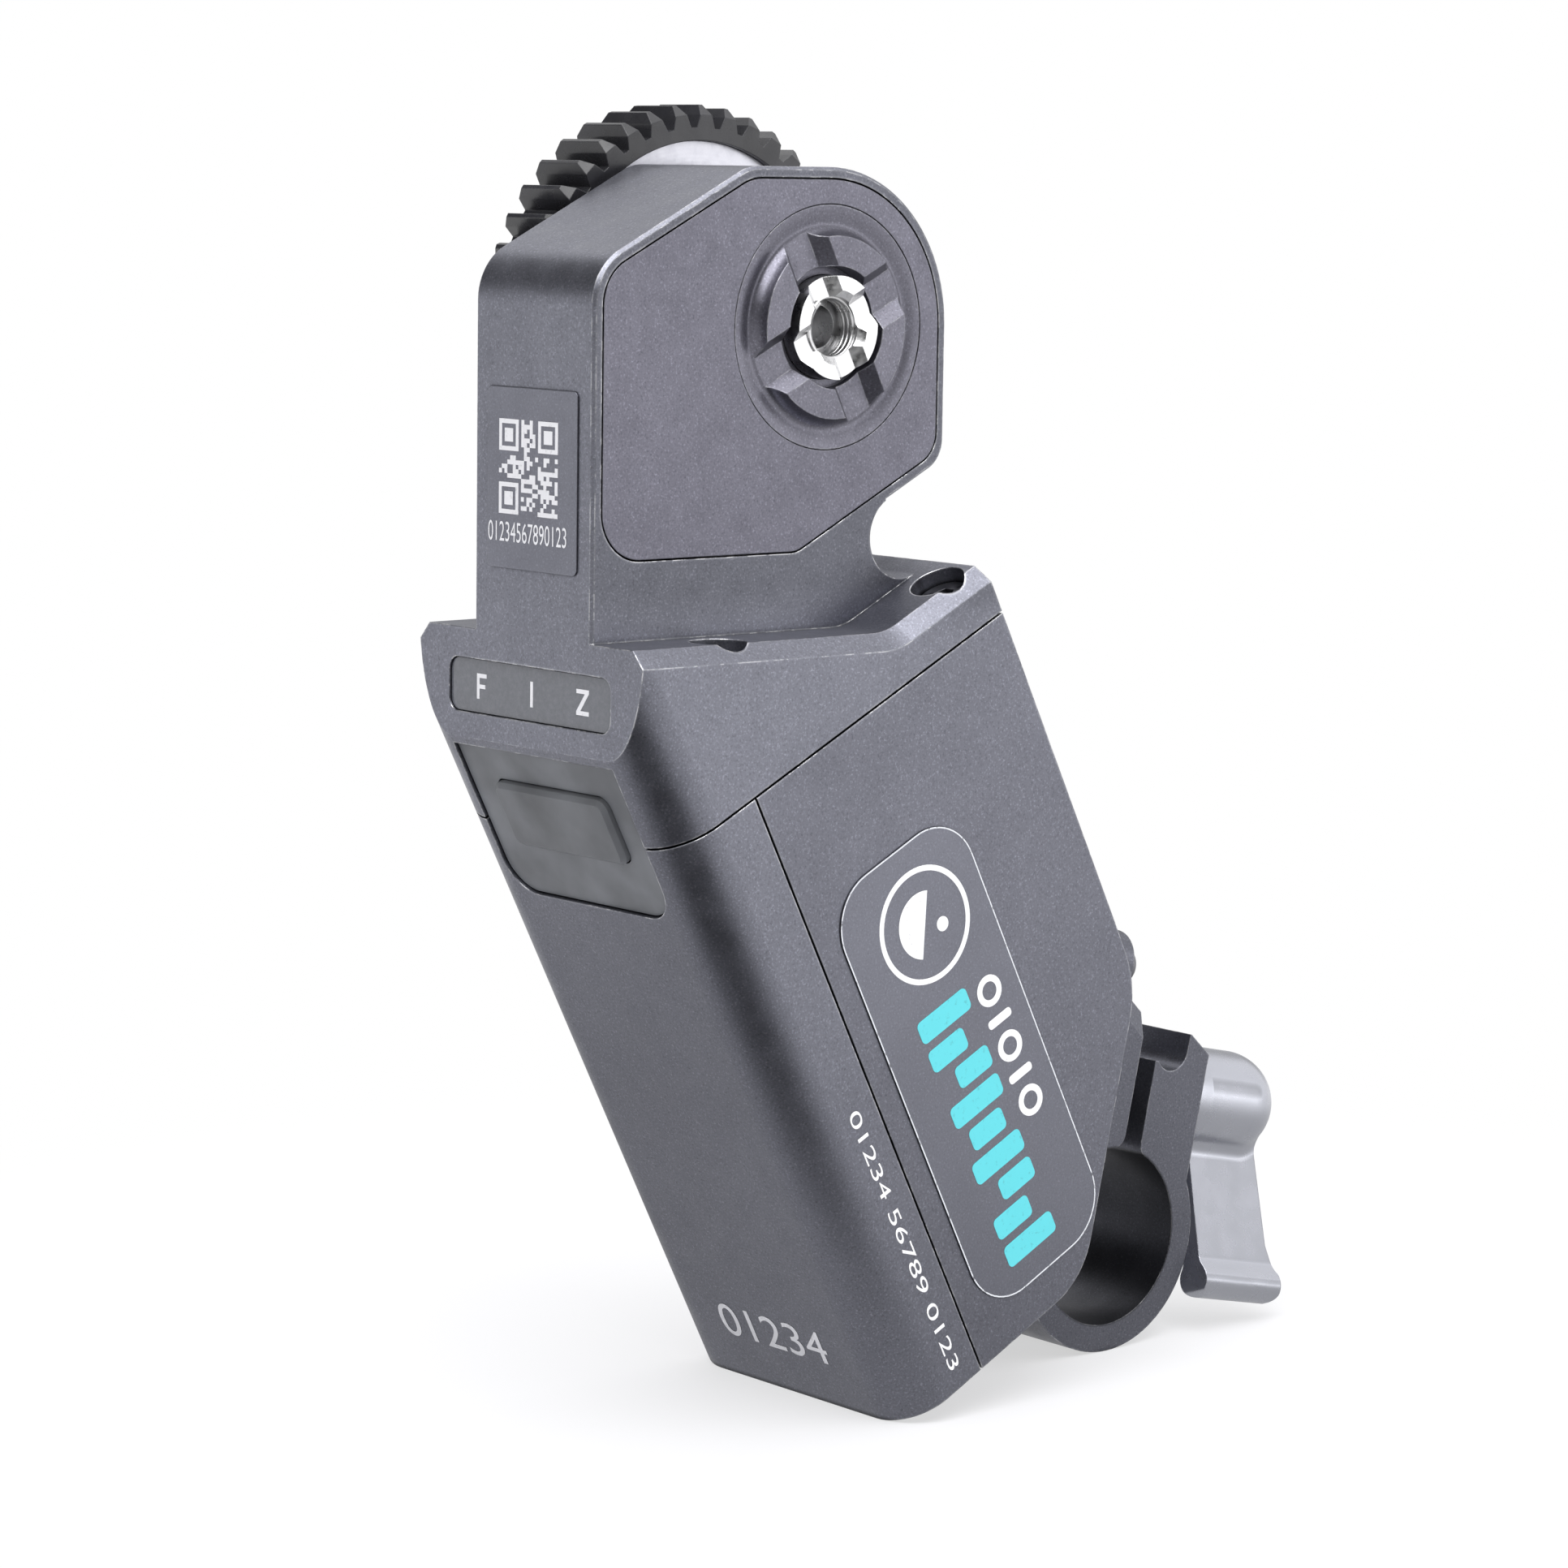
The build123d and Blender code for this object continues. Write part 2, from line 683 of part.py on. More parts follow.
    # window pocket and its light aperture
    with BuildSketch(Plane.XZ.offset(-front_y)):
        with Locations((0, window_z)):
            RectangleRounded(
                window_width + 2 * window_gap,
                window_height + 2 * window_gap,
                window_corner_r + window_gap,
            )
    extrude(amount=-(window_sink + window_thickness), mode=Mode.SUBTRACT)
    with BuildSketch(Plane.XZ.offset(-front_y)):
        with Locations((0, window_z)):
            RectangleRounded(window_width - 1.6, window_height - 1.6, 0.6)
    extrude(amount=-(upper_wall + 0.5), mode=Mode.SUBTRACT)

    board_posts(upper_post_height)
    button_openings(upper_wall)
save(upper_housing, "upper_housing")

with BuildPart() as head_cover:
    with BuildSketch(Plane.YZ.offset(cover_inner_x)):
        cover_outline()
        with Locations(output_place):
            Circle(dish_r, mode=Mode.SUBTRACT)
    extrude(amount=cover_thickness)
save(head_cover, "head_cover")


def case_slice(low, high, inset=0.0):
    """The case's section between two depths."""
    case_outline(inset)
    with Locations((0, low)):
        Rectangle(
            case_width + 2,
            high - low,
            align=(Align.CENTER, Align.MIN),
            mode=Mode.INTERSECT,
        )


front_split = split_depth - seam_gap / 2
rear_split = split_depth + seam_gap / 2
ledge_boss_bottom_z = ledge_floor_z - ledge_screw_length - 2

with BuildPart() as front_shell:
    with BuildSketch(case_section):
        case_slice(0, front_split)
    extrude(amount=seam_height)
    with BuildSketch(case_section.offset(shell_wall)):
        case_outline(shell_wall)
    extrude(amount=seam_height, mode=Mode.SUBTRACT)
    with BuildSketch(Plane.XY.offset(ledge_boss_bottom_z)):
        with Locations((-screw_x, ledge_screw_y), (screw_x, ledge_screw_y)):
            Circle(boss_r)
    extrude(amount=14)
    board_posts(lower_post_height)
    with BuildSketch(case_section):
        case_slice(0, front_split)
    extrude(amount=seam_height, mode=Mode.INTERSECT)
    with BuildSketch(Plane.XY.offset(ledge_floor_z - ledge_screw_length - 0.5)):
        with Locations((-screw_x, ledge_screw_y), (screw_x, ledge_screw_y)):
            Circle(screw_r + seat_fit)
    extrude(amount=14, mode=Mode.SUBTRACT)
    button_openings(shell_wall)
save(front_shell, "front_shell")

bracket_boss_length = 4.5
flange_face = mount_offset - flange_thickness
bracket_places = [(-bracket_screw_x, bracket_screw_height), (bracket_screw_x, bracket_screw_height)]
socket_places = [(0, socket_middle - socket_spacing / 2), (0, socket_middle + socket_spacing / 2)]

with BuildPart() as rear_shell:
    with BuildSketch(case_side.offset(-case_half)):
        case_profile(0, rear_split, seam_height)
    extrude(amount=case_width)
    with BuildSketch(case_section):
        case_slice(rear_split, case_depth)
    extrude(amount=seam_height, mode=Mode.INTERSECT)
    with BuildSketch(case_side.offset(-case_half + shell_wall)):
        case_profile(shell_wall, split_depth - 4, seam_height + 1)
    extrude(amount=case_width - 2 * shell_wall, mode=Mode.SUBTRACT)
    with BuildSketch(case_section.offset(seam_height - end_screw_length)):
        with Locations((-screw_x, end_screw_depth), (screw_x, end_screw_depth)):
            Circle(boss_r)
    extrude(amount=end_screw_length)
    with BuildSketch(clamp_face.offset(-mount_offset - bracket_boss_length)):
        with Locations(*bracket_places):
            Circle(boss_r)
    extrude(amount=bracket_boss_length)
    with BuildSketch(case_side.offset(-case_half)):
        case_profile(0, rear_split, seam_height)
    extrude(amount=case_width, mode=Mode.INTERSECT)
    with BuildSketch(case_section.offset(end_floor - end_screw_length - 0.5)):
        with Locations((-screw_x, end_screw_depth), (screw_x, end_screw_depth)):
            Circle(screw_r + seat_fit)
    extrude(amount=end_screw_length + 3, mode=Mode.SUBTRACT)
    with BuildSketch(clamp_face.offset(-flange_face - bracket_screw_length - 0.5)):
        with Locations(*bracket_places):
            Circle(bracket_screw_r + seat_fit)
    extrude(amount=bracket_screw_length + 1, mode=Mode.SUBTRACT)
    with BuildSketch(case_front.offset(case_depth - shell_wall - 1)):
        with Locations(*socket_places):
            RectangleRounded(
                socket_width + 0.2, socket_height + 0.2, socket_height / 2 - 0.1
            )
    extrude(amount=shell_wall + 2, mode=Mode.SUBTRACT)
save(rear_shell, "rear_shell")


with BuildPart() as housing_screws:
    with BuildSketch(Plane.XY.offset(ledge_floor_z)):
        with Locations((-screw_x, ledge_screw_y), (screw_x, ledge_screw_y)):
            Circle(screw_head_r)
    extrude(amount=screw_head_height)
    with BuildSketch(Plane.XY.offset(ledge_floor_z - ledge_screw_length)):
        with Locations((-screw_x, ledge_screw_y), (screw_x, ledge_screw_y)):
            Circle(screw_r)
    extrude(amount=ledge_screw_length)
    with BuildSketch(Plane.XY.offset(ledge_floor_z + screw_head_height / 2)):
        with Locations((-screw_x, ledge_screw_y), (screw_x, ledge_screw_y)):
            RegularPolygon(screw_r, 6)
    extrude(amount=screw_head_height, mode=Mode.SUBTRACT)
    with BuildSketch(case_section.offset(end_floor)):
        with Locations((-screw_x, end_screw_depth), (screw_x, end_screw_depth)):
            Circle(screw_head_r)
    extrude(amount=screw_head_height)
    with BuildSketch(case_section.offset(end_floor - end_screw_length)):
        with Locations((-screw_x, end_screw_depth), (screw_x, end_screw_depth)):
            Circle(screw_r)
    extrude(amount=end_screw_length)
    with BuildSketch(case_section.offset(end_floor + screw_head_height / 2)):
        with Locations((-screw_x, end_screw_depth), (screw_x, end_screw_depth)):
            RegularPolygon(screw_r, 6)
    extrude(amount=screw_head_height, mode=Mode.SUBTRACT)
save(housing_screws, "housing_screws")

# ================================================================ window, button, labels
with BuildPart() as display_window:
    with BuildSketch(Plane.XZ.offset(-front_y - window_sink)):
        with Locations((0, window_z)):
            RectangleRounded(window_width, window_height, window_corner_r)
    extrude(amount=-window_thickness)
save(display_window, "display_window")

with BuildPart() as light_board:
    with BuildSketch(Plane.XZ.offset(-front_y - upper_wall - 0.05)):
        with Locations((0, inner_z - 0.2)):
            Rectangle(window_width, light_board_height - 1, align=(Align.CENTER, Align.MAX))
    extrude(amount=-board_thickness)
save(light_board, "light_board")

with BuildPart() as channel_lights:
    with BuildSketch(Plane.XZ.offset(-front_y - window_sink - window_thickness - 0.05)):
        with Locations((0, window_z)):
            with GridLocations(window_width / 3, 1, 3, 1):
                Rectangle(1.6, 1.2)
    extrude(amount=-(upper_wall - window_sink - window_thickness))
save(channel_lights, "channel_lights")

with BuildPart() as function_panel:
    with BuildSketch(case_front.offset(panel_sink)):
        panel_outline()
        with Locations((-button_x, button_middle)):
            RectangleRounded(
                button_width + 2 * button_gap,
                button_height + 2 * button_gap,
                button_corner_r + button_gap,
                mode=Mode.SUBTRACT,
            )
    extrude(amount=panel_thickness)
save(function_panel, "function_panel")

flange_depth = panel_sink + panel_thickness + 0.03
with BuildPart() as function_button:
    with BuildSketch(case_front.offset(panel_sink - button_proud)):
        with Locations((-button_x, button_middle)):
            RectangleRounded(button_width, button_height, button_corner_r)
    extrude(amount=flange_depth + button_proud - panel_sink)
    crown = function_button.faces().sort_by(Axis(case_origin, slant_back))[0]
    chamfer(crown.edges(), 0.35)
    with BuildSketch(case_front.offset(flange_depth)):
        with Locations((-button_x, button_middle)):
            Rectangle(button_width + 2 * button_flange, button_height + 2 * button_flange)
    extrude(amount=0.7)
save(function_button, "function_button")

plunger_depth = flange_depth + 0.7 + button_travel + 0.05
with BuildPart() as button_switch:
    with BuildSketch(case_front.offset(board_depth - switch_thickness)):
        with Locations((-button_x, button_middle)):
            Rectangle(switch_size, switch_size)
    extrude(amount=switch_thickness)
    with BuildSketch(case_front.offset(plunger_depth)):
        with Locations((-button_x, button_middle)):
            Circle(plunger_r)
    extrude(amount=board_depth - switch_thickness - plunger_depth)
save(button_switch, "button_switch")

with BuildPart() as button_board:
    with BuildSketch(case_front.offset(board_depth)):
        with Locations((0, (lower_post_height + upper_post_height) / 2)):
            Rectangle(
                2 * (post_x + post_r), upper_post_height - lower_post_height + 2 * post_r
            )
    extrude(amount=board_thickness)
save(button_board, "button_board")

with BuildPart() as serial_label:
    with BuildSketch(Plane.XZ.offset(-front_y)):
        with Locations((head_middle_x, serial_label_z)):
            RectangleRounded(serial_label_width, serial_label_height, 0.5)
    extrude(amount=label_thickness)
save(serial_label, "serial_label")

with BuildPart() as side_label:
    with BuildSketch(case_side.offset(case_half)):
        with Locations(
            (
                (side_label_front + side_label_back) / 2,
                (side_label_bottom + side_label_top) / 2,
            )
        ):
            RectangleRounded(
                side_label_back - side_label_front,
                side_label_top - side_label_bottom,
                side_label_r,
            )
    extrude(amount=label_thickness)
save(side_label, "side_label")

# ================================================================ rod clamp
slot_in = slot_centre - slot_width / 2
slot_out = slot_centre + slot_width / 2
relief_centre = slot_out + relief_r
fixed_reach = mount_offset + 4
gusset_rise = tan(radians(gusset_slope))

with BuildPart() as clamp_bracket:
    with BuildSketch(clamp_side.offset(-clamp_width / 2)) as clamp_profile:
        Circle(ring_outer_r)
        with BuildLine():
            Polyline(
                (-fixed_reach, -2),
                (-fixed_reach, fixed_jaw_top + (fixed_reach + slot_in) * gusset_rise),
                (slot_in, fixed_jaw_top),
                (slot_in, 0),
                (-2, -2),
                close=True,
            )
        make_face()
        with BuildLine():
            Polyline(
                (slot_out, 0),
                (slot_out, jaw_top),
                (jaw_out - jaw_bevel, jaw_top),
                (jaw_out, jaw_top - jaw_bevel * 0.6),
                (jaw_out, 0),
                close=True,
            )
        make_face()
        with Locations((relief_centre, relief_height)):
            Circle(relief_r, mode=Mode.SUBTRACT)
        with Locations((slot_out, relief_height)):
            Rectangle(
                2 * relief_r, 6, align=(Align.MIN, Align.MIN), mode=Mode.SUBTRACT
            )
        with Locations((slot_out, slot_lip_height)):
            Rectangle(relief_r, 6, align=(Align.MIN, Align.MIN), mode=Mode.SUBTRACT)
        Circle(rod_bore_r, mode=Mode.SUBTRACT)
        with Locations((slot_centre, 0)):
            Rectangle(
                slot_width, flange_top, align=(Align.CENTER, Align.MIN), mode=Mode.SUBTRACT
            )
        feet = clamp_profile.vertices().filter_by(
            lambda v: abs(abs(v.X - slot_centre) - slot_width / 2) < 0.01
            and 0 < v.Y < rod_bore_r
        )
        fillet(feet, slot_foot_r)
    extrude(amount=clamp_width)
    fall = Plane(
        origin=Vector(*lean_out) * slot_in + Vector(*lean_up) * fixed_jaw_top,
        x_dir=(1, 0, 0),
        z_dir=Vector(*lean_up) * sin(radians(gusset_slope))
        - Vector(*lean_out) * cos(radians(gusset_slope)),
    ).offset(-slot_width)
    for side in (1, -1):
        edge_x = side * (clamp_width / 2 - jaw_side_bevel)
        out_x = side * (clamp_width / 2 + jaw_side_bevel)
        with BuildSketch(fall):
            with BuildLine():
                Polyline((edge_x, 0), (out_x, -2 * jaw_side_drop), (out_x, 0), close=True)
            make_face()
    extrude(amount=slot_width + fixed_reach, mode=Mode.SUBTRACT)
    with BuildSketch(clamp_face.offset(-mount_offset - 3)):
        with Locations((0, (flange_bottom + flange_top) / 2)):
            RectangleRounded(
                2 * flange_half_width, flange_top - flange_bottom, flange_corner_r
            )
    extrude(amount=3 + flange_thickness)
    with BuildSketch(case_side.offset(-case_half)):
        case_profile(0, 0, seam_height)
    extrude(amount=case_width, mode=Mode.SUBTRACT)
    with BuildSketch(clamp_face.offset(-clamp_screw_reach)):
        with Locations((0, lever_axis_height)):
            Circle(clamp_screw_r + running_fit)
    extrude(amount=clamp_screw_reach + slot_centre, mode=Mode.SUBTRACT)
    with BuildSketch(clamp_face.offset(slot_centre)):
        with Locations((0, lever_axis_height)):
            Circle(clamp_screw_r + screw_clearance)
    extrude(amount=jaw_out, mode=Mode.SUBTRACT)
    with BuildSketch(clamp_face.offset(-mount_offset - 3)):
        with Locations(*bracket_places):
            Circle(bracket_screw_r + seat_fit)
    extrude(amount=flange_thickness + 4, mode=Mode.SUBTRACT)
save(clamp_bracket, "clamp_bracket")

with BuildPart() as bracket_screws:
    with BuildSketch(clamp_face.offset(-flange_face)):
        with Locations(*bracket_places):
            Circle(bracket_head_r)
    extrude(amount=bracket_head_height)
    tops = bracket_screws.faces().filter_by(Axis((0, 0, 0), lean_out)).group_by(
        Axis((0, 0, 0), lean_out)
    )[-1]
    fillet(tops.edges(), 0.6)
    with BuildSketch(clamp_face.offset(-flange_face - bracket_screw_length)):
        with Locations(*bracket_places):
            Circle(bracket_screw_r)
    extrude(amount=bracket_screw_length)
    with BuildSketch(clamp_face.offset(-flange_face + bracket_head_height / 2)):
        with Locations(*bracket_places):
            RegularPolygon(0.75, 6)
    extrude(amount=bracket_head_height, mode=Mode.SUBTRACT)
save(bracket_screws, "bracket_screws")

with BuildPart() as clamp_washer:
    with BuildSketch(clamp_face.offset(jaw_out)):
        with Locations((0, lever_axis_height)):
            Circle(washer_r)
            Circle(clamp_screw_r + screw_clearance, mode=Mode.SUBTRACT)
    extrude(amount=lever_hub_start - jaw_out - 0.03)
save(clamp_washer, "clamp_washer")

dome_start = lever_hub_end - lever_hub_r
screw_end = dome_start - 0.6
with BuildPart() as clamp_screw:
    with BuildSketch(clamp_face.offset(-clamp_screw_reach + 0.3)):
        with Locations((0, lever_axis_height)):
            Circle(clamp_screw_r)
    extrude(amount=clamp_screw_reach - 0.3 + screw_end)
save(clamp_screw, "clamp_screw")

lever_middle = Vector(*lean_up) * lever_axis_height
arm_side = Plane(
    origin=lever_middle,
    x_dir=lean_out,
    z_dir=Vector(*lean_out).cross(Vector(*arm_down)),
)
arm_face = Plane(
    origin=lever_middle + Vector(*lean_out) * lever_arm_start,
    x_dir=arm_down,
    z_dir=lean_out,
)
neck = lever_arm_length - lever_bulb_r - lever_bulb_blend


def by_arm(point):
    """A point as out along the screw, down along the arm, and across."""
    return arm_side.to_local_coords(point)


with BuildPart() as clamp_lever:
    # the arm's outline from the side: a blade, and a bulb that reaches further out
    with BuildSketch(arm_side.offset(-2 * lever_bulb_r)) as contour:
        with BuildLine():
            Polyline(
                (lever_arm_start, 0),
                (lever_arm_end, 0),
                (lever_arm_end + lever_arm_flare, neck),
                (lever_bulb_end, lever_arm_length - lever_bulb_r / 2),
                (lever_bulb_end, lever_arm_length + lever_bulb_r),
                (lever_arm_start, lever_arm_length + lever_bulb_r),
                close=True,
            )
        make_face()
        bends = contour.vertices().filter_by(
            lambda v: by_arm(Vector(v)).X > lever_arm_start + 0.01
            and by_arm(Vector(v)).Y > lever_hub_r
        )
        fillet(bends, lever_bulb_r / 2)
    extrude(amount=4 * lever_bulb_r)
    with BuildSketch(arm_face) as wing:
        Rectangle(
            lever_arm_length, lever_arm_thickness, align=(Align.MIN, Align.CENTER)
        )
        with Locations((lever_arm_length, 0)):
            Circle(lever_bulb_r)
        necks = wing.vertices().filter_by(
            lambda v: abs(hypot(v.X - lever_arm_length, v.Y) - lever_bulb_r) < 0.02
        )
        fillet(necks, lever_bulb_blend)
    extrude(amount=lever_bulb_end - lever_arm_start, mode=Mode.INTERSECT)
    # the hub: a collar, a barrel and a round end
    with BuildSketch(arm_side):
        with BuildLine():
            Polyline(
                (dome_start, -lever_hub_r),
                (lever_arm_start, -lever_hub_r),
                (lever_hub_start, -lever_collar_r),
                (lever_hub_start, 0),
                (lever_hub_end, 0),
            )
            RadiusArc((lever_hub_end, 0), (dome_start, -lever_hub_r), lever_hub_r)
        make_face()
    revolve(axis=Axis(lever_middle, lean_out))
    roots = clamp_lever.edges().filter_by(
        lambda e: by_arm(e.center()).X > lever_arm_start + 0.01
        and abs(by_arm(e.center()).Z) < lever_arm_thickness / 2 + 0.01
        and lever_hub_r / 2 < by_arm(e.center()).Y < lever_hub_r
    )
    fillet(roots, lever_waist_r)
    with BuildSketch(clamp_face.offset(lever_hub_start - 1)):
        with Locations((0, lever_axis_height)):
            Circle(clamp_screw_r + seat_fit)
    extrude(amount=screw_end - lever_hub_start + 1, mode=Mode.SUBTRACT)
save(clamp_lever, "clamp_lever")

# ================================================================ output
hub_r = dish_r - hub_clearance
hub_inner = head_wall - 0.1            # how deep the hub reaches under the head's face


def groove_cut(face_x, outward, floor, top, width, slope, reach):
    """Cut a cross of sloping-sided grooves through the output axis."""
    spread = width / 2 + slope * (top + floor + 0.2) / (top + floor)
    for turn in (groove_turn, groove_turn + 90):
        along = (0, cos(radians(turn)), sin(radians(turn)))
        across = Plane(origin=(face_x, hub_y, hub_z), x_dir=(1, 0, 0), z_dir=along)
        with BuildSketch(across) as groove:
            with BuildLine():
                Polyline(
                    (-outward * floor, -width / 2),
                    (outward * (top + 0.2), -spread),
                    (outward * (top + 0.2), spread),
                    (-outward * floor, width / 2),
                    close=True,
                )
            make_face()
        extrude(groove.sketch, amount=reach, both=True, mode=Mode.SUBTRACT)


def output_hub(face_x, outward):
    """A dished hub with four pads, facing out of the head on either side."""

    def at(height, radius):
        return (face_x + outward * height, radius)

    with BuildPart() as hub:
        with BuildSketch(axial):
            with BuildLine():
                Polyline(
                    at(pad_height, pad_r),
                    at(pad_height, ring_pocket_r),
                    at(-hub_inner + hub_web, ring_pocket_r),
                    at(-hub_inner + hub_web, coupling_r + seat_fit),
                    at(-hub_inner, coupling_r + seat_fit),
                    at(-hub_inner, hub_r),
                    at(-hub_rim_depth, hub_r),
                )
                Spline(
                    at(-hub_rim_depth, hub_r),
                    at(-dish_floor, dish_floor_r),
                    at(pad_height, pad_r),
                    tangents=((-outward * 0.04, -1), (outward, -0.12)),
                )
            make_face()
        revolve(axis=output_axis)
        groove_cut(
            face_x,
            outward,
            groove_floor,
            pad_height,
            groove_width,
            groove_slope,
            groove_reach,
        )
    return hub


drive_hub_right = output_hub(head_right_x, 1)
save(drive_hub_right, "drive_hub_right")
drive_hub_left = output_hub(head_left_x, -1)
save(drive_hub_left, "drive_hub_left")

shaft_left_x = head_left_x + hub_inner
shaft_right_x = head_right_x - hub_inner


def coupling_ring(start_x, face_x, outward):
    """A steel ring whose four notches line up with the hub's grooves."""
    with BuildPart() as ring:
        with BuildSketch(Plane.YZ.offset(start_x)):
            with Locations(output_place):
                Circle(coupling_r)
                Circle(coupling_bore_r, mode=Mode.SUBTRACT)
        end_x = face_x + outward * coupling_proud
        extrude(amount=end_x - start_x)
        mouth = ring.edges().filter_by(
            lambda e: e.length < 2 * pi * coupling_bore_r + 0.01
            and abs(e.center().X - end_x) < 0.01
        )
        chamfer(mouth, coupling_mouth)
        groove_cut(
            face_x,
            outward,
            coupling_notch_depth - coupling_proud,
            coupling_proud,
            coupling_notch,
            coupling_slope,
            2 * coupling_r,
        )
    return ring


coupling_ring_right = coupling_ring(shaft_right_x, head_right_x, 1)
save(coupling_ring_right, "coupling_ring_right")
coupling_ring_left = coupling_ring(shaft_left_x, head_left_x, -1)
save(coupling_ring_left, "coupling_ring_left")

with BuildPart() as output_shaft:
    with BuildSketch(Plane.YZ.offset(shaft_left_x)):
        with Locations(output_place):
            Circle(shaft_r)
    extrude(amount=shaft_right_x - shaft_left_x)
    for mouth_x, inward, hole_r in (
        (shaft_left_x, 1, gear_screw_r + seat_fit),
        (shaft_right_x, -1, thread_r),
    ):
        with BuildSketch(Plane.YZ.offset(mouth_x)):
            with Locations(output_place):
                Circle(hole_r)
        extrude(amount=inward * thread_depth, mode=Mode.SUBTRACT)
save(output_shaft, "output_shaft")

with BuildPart() as output_bearings:
    for start_x in (plate_left_x, cover_inner_x - bearing_width):
        with BuildSketch(Plane.YZ.offset(start_x)):
            with Locations(output_place):
                Circle(bearing_r)
                Circle(shaft_r + running_fit, mode=Mode.SUBTRACT)
        extrude(amount=bearing_width)
save(output_bearings, "output_bearings")

gear_near_x = head_left_x - gear_gap
gear_far_x = gear_near_x - gear_width
gear_tip_r = gear_module * (gear_teeth + 2) / 2
with BuildPart() as focus_gear:
    with BuildSketch(Plane.YZ.offset(gear_far_x)):
        gear_outline(
            output_place, gear_teeth, gear_module, gear_turn, gear_rim_r, 1.0, 1.25
        )
    extrude(amount=gear_width)
    with BuildSketch(axial):
        with BuildLine():
            Polyline(
                (gear_far_x, 0),
                (gear_far_x, gear_tip_r - gear_end_bevel),
                (gear_far_x + gear_end_bevel, gear_tip_r),
                (gear_near_x - gear_end_bevel, gear_tip_r),
                (gear_near_x, gear_tip_r - gear_end_bevel),
                (gear_near_x, 0),
                close=True,
            )
        make_face()
    revolve(axis=output_axis, mode=Mode.INTERSECT)
save(focus_gear, "focus_gear")

boss_near_x = gear_near_x - gear_boss_recess
boss_far_x = gear_far_x + gear_boss_recess
boss_seat_x = head_left_x - pad_height - 0.03
with BuildPart() as gear_boss:
    with BuildSketch(Plane.YZ.offset(boss_far_x)):
        with Locations(output_place):
            Circle(gear_rim_r - seat_fit)
    extrude(amount=boss_near_x - boss_far_x)
    with BuildSketch(Plane.YZ.offset(boss_near_x)):
        with Locations(output_place):
            Circle(pad_r)
    extrude(amount=boss_seat_x - boss_near_x)
    with BuildSketch(Plane.YZ.offset(boss_near_x)):
        with Locations(output_place):
            Circle(coupling_r + 0.15)
    extrude(amount=boss_seat_x - boss_near_x + 1, mode=Mode.SUBTRACT)
    with BuildSketch(Plane.YZ.offset(boss_near_x)):
        with Locations(output_place):
            with PolarLocations((coupling_r + coupling_bore_r) / 2, 4, groove_turn):
                Rectangle(coupling_r - coupling_bore_r - 0.2, coupling_notch - 0.2)
    extrude(amount=gear_boss_recess + 0.5)
    with BuildSketch(Plane.YZ.offset(boss_far_x - 1)):
        with Locations(output_place):
            Circle(gear_screw_r + 0.2)
    extrude(amount=gear_width + 3, mode=Mode.SUBTRACT)
save(gear_boss, "gear_boss")

with BuildPart() as gear_screw:
    with BuildSketch(Plane.YZ.offset(boss_far_x - gear_screw_head_height)):
        with Locations(output_place):
            Circle(gear_screw_head_r)
    extrude(amount=gear_screw_head_height)
    rim = gear_screw.edges().filter_by(GeomType.CIRCLE).sort_by(Axis.X)[0]
    fillet(rim, 0.6)
    with BuildSketch(Plane.YZ.offset(boss_far_x)):
        with Locations(output_place):
            Circle(gear_screw_r)
    extrude(amount=gear_screw_length)
    with BuildSketch(Plane.YZ.offset(boss_far_x - gear_screw_head_height)):
        with Locations(output_place):
            RegularPolygon(1.75, 6)
    extrude(amount=1.2, mode=Mode.SUBTRACT)
save(gear_screw, "gear_screw")

# ================================================================ gear train
with BuildPart() as output_gear:
    with BuildSketch(Plane.YZ.offset(layer_left_x)):
        gear_outline(output_place, output_teeth, train_module, output_turn, shaft_r + seat_fit)
    extrude(amount=layer_width)
save(output_gear, "output_gear")


def reduction_gear(place, big_x, big_teeth, big_turn, small_x, small_turn):
    """A large and a small gear in one piece, turning on an axle pin."""
    with BuildPart() as pair:
        with BuildSketch(Plane.YZ.offset(big_x)):
            gear_outline(place, big_teeth, train_module, big_turn, axle_r + running_fit)
        extrude(amount=layer_width)
        with BuildSketch(Plane.YZ.offset(small_x)):
            gear_outline(place, small_teeth, train_module, small_turn, axle_r + running_fit)
        extrude(amount=layer_width)
        with BuildSketch(Plane.YZ.offset(layer_left_x + layer_width)):
            with Locations(place):
                Circle(train_module * small_teeth / 2 - dedendum * train_module)
                Circle(axle_r + running_fit, mode=Mode.SUBTRACT)
        extrude(amount=layer_gap)
    return pair


high_gear = reduction_gear(
    high_place, layer_right_x, high_teeth, high_small_turn, layer_left_x, high_small_turn
)
save(high_gear, "reduction_gear_high")
low_gear = reduction_gear(
    low_place, layer_left_x, low_teeth, low_small_turn, layer_right_x, low_small_turn
)
save(low_gear, "reduction_gear_low")

